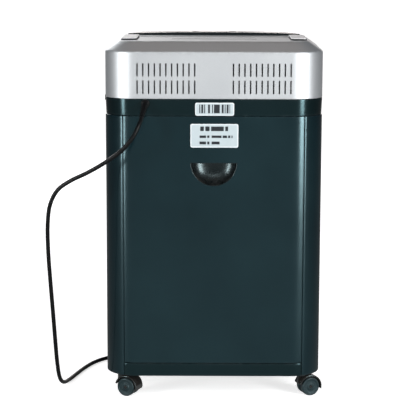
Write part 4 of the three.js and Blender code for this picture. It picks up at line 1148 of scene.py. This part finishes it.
lead = {
    "diameter": 6.5 * mm,
    "route": [
        (110.3, 148, 454.7), (111.8, 153.6, 449.1), (115.6, 159.6, 440), (124.2, 163.6, 423.9),
        (140.5, 164, 404.6), (164.4, 161, 386.8), (192.9, 156, 369.6), (219.9, 150, 355.9),
        (240, 145, 341), (252.5, 139, 318), (257.5, 133, 286), (258, 126, 240), (256, 118, 190),
        (253.5, 110, 140), (251.5, 100, 92), (250, 88, 52), (248, 70, 22),
        (244, 46, 7.5), (237, 16, 3.7), (228, -20, 3.35), (217, -60, 3.35),
        (202, -98, 3.35), (182, -124.5, 3.35), (158, -138.5, 3.35), (136, -143.1, 3.35),
        (120.3, -143.5, 3.35)],
    "tail": [(69.7, -143.5, 9.85), (58, -143.5, 8.9), (46, -143.5, 7), (34, -143.5, 6.1)],
    "coilMiddle": (95, -186),
    "coilOuter": 42.5,
    "coilTurns": 4,
}


def coilPoints(c):
    # spiral in on the floor, rise a diameter, spiral out on top: r(q) falls, then grows, by one
    # diameter a turn, and z rises over a quarter turn in the middle
    turns = c["coilTurns"]
    q = np.linspace(0, turns, turns * 28 + 1)
    pitch = c["diameter"] / mm
    r = c["coilOuter"] - pitch * np.minimum(q, turns - q)
    lift = np.clip((q - turns / 2) / 0.25 + 0.5, 0, 1)
    z = 3.35 + pitch * lift * lift * (3 - 2 * lift)
    angle = np.pi / 2 + 2 * np.pi * q
    x = c["coilMiddle"][0] + r * np.cos(angle)
    y = c["coilMiddle"][1] + r * np.sin(angle)
    return np.column_stack([x, y, z])


def smoothCurve(points, per=8):
    # centripetal Catmull-Rom through the points, as Hermite pieces
    p = np.array(points, float)
    p = np.vstack([2 * p[0] - p[1], p, 2 * p[-1] - p[-2]])
    d = np.linalg.norm(np.diff(p, axis=0), axis=1) ** 0.5
    p0, p1, p2, p3 = p[:-3], p[1:-2], p[2:-1], p[3:]
    d0, d1, d2 = (d[:-2, None], d[1:-1, None], d[2:, None])
    m1 = ((p1 - p0) / d0 - (p2 - p0) / (d0 + d1) + (p2 - p1) / d1) * d1
    m2 = ((p2 - p1) / d1 - (p3 - p1) / (d1 + d2) + (p3 - p2) / d2) * d1
    t = np.linspace(0, 1, per, endpoint=False)[None, :, None]
    a, b = (2 * p1 - 2 * p2 + m1 + m2)[:, None], (-3 * p1 + 3 * p2 - 2 * m1 - m2)[:, None]
    line = a * t ** 3 + b * t ** 2 + m1[:, None] * t + p1[:, None]
    return np.vstack([line.reshape(-1, 3), p[-2]])


def tubePart(line, radius, sides=16):
    # rings carried along the line, each turned from the last by the change of direction
    tangent = np.gradient(line, axis=0)
    tangent /= np.linalg.norm(tangent, axis=1)[:, None]
    side = np.cross(tangent[0], [0, 0, 1.0])
    sideways = []
    for t in tangent:
        side = side - t * (side @ t)
        side = side / np.linalg.norm(side)
        sideways.append(side)
    e = np.array(sideways)
    f = np.cross(tangent, e)
    q = np.linspace(0, 2 * np.pi, sides, endpoint=False)
    radius = np.broadcast_to(radius, len(line))
    ring = np.cos(q)[:, None, None] * e[None] + np.sin(q)[:, None, None] * f[None]
    return gridPart(line[None] + radius[None, :, None] * ring, wrapU=True, capFirst=True, capLast=True)


def buildRelief(c):
    # collar against the band, then a tapered sleeve cut by rings down to the cord
    exit = np.array(c["route"][0]) * mm
    seat = np.array([105.5, casing["rear"] / mm, bandHigh.z / mm - 7.0]) * mm
    start = seat + np.array([0, 3.5 * mm, 0])
    axis = exit - start
    length = np.linalg.norm(axis)
    d = np.linspace(0, length - 0.3 * mm, 90)
    share = d / length
    radius = 5.4 * mm + (3.9 - 5.4) * mm * share
    ribs = 0.55 * mm * (np.sin(share * 2 * np.pi * 6.5) > 0.25) * (share > 0.1) * (share < 0.93)
    profile = np.column_stack([radius - ribs, d])
    sleeve = turnedPart(np.vstack([[0, 0], profile, [3.3 * mm, length - 0.3 * mm], [0, length - 0.3 * mm]]),
                        start, axis, 32)
    collarProfile = filleted([(0, -5), (5, -5), (5, 0.3), (7, 0.3), (6.2, 4.6), (0, 5)],
                             [0, 0, 0, 0.8, 1.2, 0], 5) * mm
    collar = turnedPart(collarProfile, seat, (0, 1, 0), 36)
    piece = objectOf("strainRelief", meshOf("strainRelief", [collar, sleeve]))
    return finished(piece, "housing", cordSheath, ["strain_relief"], 40)


def buildPlug(c):
    # a flattened body whose rings grow from the cord to the face, and two round pins
    end = np.array(c["tail"][-1]) * mm
    share = np.linspace(0, 1, 30)
    length = 38 * mm
    grow = np.clip(share / 0.45, 0, 1)
    grow = grow * grow * (3 - 2 * grow)
    halfWide = (4.4 + 4.1 * grow) * mm
    halfHigh = (4.2 + 1.8 * grow) * mm
    face = np.clip((1 - share) / 0.04, 0, 1)
    shrink = 1 - 0.12 * (1 - np.sqrt(1 - (1 - face) ** 2))
    q = np.linspace(0, 2 * np.pi, 40, endpoint=False)
    power = 0.6
    cosq = np.sign(np.cos(q)) * np.abs(np.cos(q)) ** power
    sinq = np.sign(np.sin(q)) * np.abs(np.sin(q)) ** power
    middleZ = 6.12 * mm
    points = np.stack([
        np.broadcast_to(end[0] - 0.3 * mm - share * length, (40, 30)),
        end[1] + cosq[:, None] * (halfWide * shrink)[None, :],
        middleZ + sinq[:, None] * (halfHigh * shrink)[None, :]], -1)
    parts = [gridPart(points, wrapU=True, capFirst=True, capLast=True)]
    faceX = end[0] - 0.3 * mm - length
    for sign in (-1, 1):
        pin = [(0, -1 * mm), (2 * mm, -1 * mm), (2 * mm, 17.5 * mm), (1.4 * mm, 18.8 * mm), (0, 19 * mm)]
        parts.append(turnedPart(pin, (faceX, end[1] + sign * 5.5 * mm, middleZ), (-1, 0, 0), 20))
    piece = objectOf("plug", meshOf("plug", parts))
    return finished(piece, "housing", cordSheath, ["mains_plug"], 40)


def buildTie(c):
    # a band round the coil's bundle on the side away from the object
    x, y = c["coilMiddle"]
    ring = [roundedRect(24.9, 47.1, 0.05, 14.2, 4.4, 6), roundedRect(25.8, 46.2, 0.85, 13.4, 3.5, 6)]
    half = 2.2
    grid = np.zeros((len(ring[0]), 4, 3))
    for k, (loop, yy) in enumerate([(ring[1], -half), (ring[0], -half), (ring[0], half), (ring[1], half)]):
        grid[:, k] = np.column_stack([x + loop[:, 0], np.full(len(loop), y + yy), loop[:, 1]])
    piece = objectOf("coilTie", meshOf("coilTie", [gridPart(grid * mm, wrapU=True, wrapV=True)]))
    return finished(piece, "housing", cordSheath, degrees=40)


def buildLead(c):
    points = np.vstack([c["route"], coilPoints(c), c["tail"]])
    line = smoothCurve(points, 4) * mm
    piece = objectOf("mainsLead", meshOf("mainsLead", [tubePart(line, c["diameter"] / 2)]))
    finished(piece, "housing", cordSheath, ["power_cord", "cord_coil", "cord_tail"], 60)
    length = np.linalg.norm(np.diff(line, axis=0), axis=1).sum()
    print("mains lead length", round(float(length), 3))
    relief, plug, tie = buildRelief(c), buildPlug(c), buildTie(c)


buildLead(lead)
print("stage: mains lead")


# Castors

castors = {
    "stems": {"rear_right": (144, 87.5, 156), "rear_left": (-144, 87.5, 200),
              "front_right": (144, -87.5, 172), "front_left": (-144, -87.5, 14)},
    "trail": 9.85,
    "wheel": 15.0,
    "web": 6.0,
    "gap": 0.4,
    "wheelWidth": 9.0,
    "hoodGap": 1.6,
    "hoodWall": 2.4,
    "neckTop": 39.7,
    "stemTop": 57.0,
}


def turnedPlace(part, x, y, degrees):
    # a part built about the stem, turned by the castor's angle and moved to its stem
    a = math.radians(degrees)
    turn = np.array([[math.cos(a), math.sin(a), 0], [-math.sin(a), math.cos(a), 0], [0, 0, 1]])
    points, faces, wear = part
    return points * mm @ turn + np.array([x, y, 0]) * mm, faces, wear


def wheelPart(c, sign):
    # a turned tyre and disc: crowned tread, raised rim, dished disc and a hub cap
    inner = c["web"] / 2 + c["gap"]
    outer = inner + c["wheelWidth"]
    r = c["wheel"]
    corner = [(2.8, inner), (r - 1.2, inner), (r - 0.1, inner + 1.4), (r, (inner + outer) / 2),
              (r - 0.1, outer - 1.4), (r - 1.2, outer), (r - 3.2, outer), (r - 3.8, outer - 1.3),
              (6.2, outer - 1.5), (5.4, outer - 0.3), (2.9, outer - 0.3)]
    profile = filleted(corner, [0, 0.7, 0.7, 0, 0.7, 0.5, 0.4, 0.4, 0.4, 0.4, 0], 5)
    profile[:, 1] *= sign
    loop = np.vstack([profile, profile[:1]])
    wear = np.exp(-np.abs(loop[:, 0] - (r - 2.2)) / 1.2)[None, :]
    return turnedPart(loop, (c["trail"], 0, r), (0, 1, 0), 56, wear)


def forkParts(c):
    # a hood round the wheels, the web between them, the swivel's neck and the axle
    across = c["web"] / 2 + c["gap"] + c["wheelWidth"]
    r0 = c["wheel"] + c["hoodGap"]
    r1 = r0 + c["hoodWall"]
    start, stop = -0.25, math.pi * 0.93
    t = np.linspace(0, np.pi / 2, 4)
    e = 0.9
    fall = (e * (1 - np.sin(t)))[:-1]
    shrink = np.concatenate([fall, np.zeros(40), fall[::-1]])
    angle = np.concatenate([
        start + e * (1 - np.cos(t))[:-1] / r0,
        np.linspace(start + e / r0, stop - e / r0, 40),
        (stop - e * (1 - np.cos(t))[:-1] / r0)[::-1]])
    rings = np.array([
        roundedRect(r0 + k, r1 - k, -across + k, across - k, max(1.0 - k, 1e-3), 5) for k in shrink])
    grid = np.stack([
        c["trail"] + rings[:, :, 0] * np.cos(angle)[:, None], rings[:, :, 1],
        c["wheel"] + rings[:, :, 0] * np.sin(angle)[:, None]], -1).transpose(1, 0, 2)
    hoodPart = gridPart(grid, wrapU=True, capFirst=True, capLast=True, wear=0.3)
    q = np.linspace(-0.2, math.pi * 0.92, 30)
    web = np.vstack([np.column_stack([c["trail"] + (r0 + 1) * np.cos(q), c["wheel"] + (r0 + 1) * np.sin(q)]),
                     [[c["trail"] - 2, c["wheel"] - 5], [c["trail"] + 2, c["wheel"] - 5]]])
    top, stemTop = c["neckTop"], c["stemTop"]
    foot = c["wheel"] + r0 + 0.2
    neck = filleted([(0, foot), (8.4, foot), (8.4, top - 2.6), (7, top - 2.2), (7, top), (4, top),
                     (4, stemTop - 0.5), (3.2, stemTop), (0, stemTop)],
                    [0, 0.8, 0.8, 0.3, 0.5, 0.3, 0.3, 0.3, 0], 4)
    hub = across - 0.1
    axle = [(0, -hub), (2.2, -hub), (2.5, -hub + 0.3), (2.5, hub - 0.3), (2.2, hub), (0, hub)]
    return [
        hoodPart,
        prismPart(web, 1, -c["web"] / 2, c["web"] / 2),
        prismPart(roundedRect(-8.3, 8.3, c["wheel"] + 4, 33, 1.0, 3), 1, -c["web"] / 2, c["web"] / 2),
        turnedPart(neck, (0, 0, 0), (0, 0, 1), 40),
        turnedPart(axle, (c["trail"], 0, c["wheel"]), (0, 1, 0), 24),
    ]


def buildCastors(c):
    for key, (x, y, degrees) in c["stems"].items():
        word = "".join(part.capitalize() for part in key.split("_"))
        parts = [turnedPlace(p, x, y, degrees) for p in forkParts(c)]
        fork = objectOf("castorFork" + word, meshOf("castorFork" + word, parts))
        finished(fork, "castor_" + key, castorGloss, ["castor_fork_" + key], 40)
        for letter, sign in (("a", 1), ("b", -1)):
            name = "castorWheel" + letter.upper() + word
            wheel = objectOf(name, meshOf(name, [turnedPlace(wheelPart(c, sign), x, y, degrees)]))
            finished(wheel, "wheel_" + letter + "_" + key, wheelNylon,
                     ["castor_wheel_" + letter + "_" + key], 35)


buildCastors(castors)
print("stage: castors")


# Carried-over CAD pieces

carried = {
    "paper_throat": throatPlastic, "disc_throat": throatPlastic,
    "cutter_rear": cutterSteel, "cutter_front": cutterSteel, "stripper_comb_rear": darkPlastic,
    "stripper_comb_front": darkPlastic, "unit_plate_left": plateSteel, "unit_plate_right": plateSteel,
    "tie_bar_front": cutterSteel, "tie_bar_rear": cutterSteel, "timing_gear_rear": cutterSteel,
    "timing_gear_front": cutterSteel, "final_gear": gearNylon, "cluster_gear": gearNylon,
    "cluster_axle": cutterSteel, "motor_body": motorSteel, "motor_shaft": cutterSteel,
    "control_board": boardGreen, "bin_sensor": darkPlastic, "bin_bucket": darkPlastic,
}
for node, material in carried.items():
    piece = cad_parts[node]
    piece.data.materials.clear()
    piece.data.materials.append(material)


# Floor and light

def addArea(name, place, target, size, power):
    data = bpy.data.lights.new(name, "AREA")
    data.shape = "RECTANGLE"
    data.size, data.size_y = size
    data.energy = power
    lamp = bpy.data.objects.new(name, data)
    lamp.location = place
    lamp.rotation_euler = (Vector(target) - Vector(place)).to_track_quat("-Z", "Y").to_euler()
    bpy.context.scene.collection.objects.link(lamp)


def makeWorld():
    # by direction: a bright low band before and behind, dim sides, a dim warm ceiling
    world = bpy.data.worlds.new("studio")
    world.use_nodes = True
    tree = world.node_tree
    direction = add(tree, "ShaderNodeTexCoord").outputs["Generated"]
    parts = add(tree, "ShaderNodeSeparateXYZ", {"Vector": direction}).outputs
    ahead = maths(tree, "MULTIPLY", ranged(tree, parts["Y"], 0.4, 0.95), ranged(tree, parts["Z"], 0.5, 0.1))
    behind = maths(tree, "MULTIPLY", ranged(tree, parts["Y"], -0.86, -0.95),
                   ranged(tree, parts["Z"], 0.30, 0.20))
    behind = maths(tree, "MULTIPLY", behind, ranged(tree, parts["Z"], 0.02, 0.06))
    ceiling = mixed(tree, ranged(tree, parts["Z"], 0.75, 0.92), (0.05, 0.06, 0.07), (0.20, 0.15, 0.13))
    front = mixed(tree, ahead, ceiling, (0.45, 0.465, 0.47))
    both = mixed(tree, behind, front, (2.4, 2.25, 2.2))
    background = tree.nodes["Background"]
    tree.links.new(both, background.inputs["Color"])
    background.inputs["Strength"].default_value = 1.0
    return world


def addStudio():
    grid = np.array([[[-60, -60, 0], [-60, 60, 0]], [[60, -60, 0], [60, 60, 0]]], float)
    floor = objectOf("studioFloor", meshOf("studioFloor", [gridPart(grid)]))
    floor.data.materials.append(makeFloor())
    bpy.context.scene.world = makeWorld()
    for name, azimuth, width, power in (("stripLeft", 51, 0.36, 44), ("stripRight", -43, 0.56, 62)):
        a = math.radians(azimuth)
        addArea(name, (2.4 * math.sin(a), 2.4 * math.cos(a), 0.7), (0, 0, 0.3), (width, 1.5), power)
    addArea("keyAbove", (0, 2.2, 2.0), (0, 0, 0.4), (2.2, 0.16), 8)
    addArea("frontFill", (0.9, -2.4, 1.5), (0, 0, 0.3), (1.2, 1.2), 18)


addStudio()
bpy.context.scene.view_settings.view_transform = "Standard"
print("stage: studio")
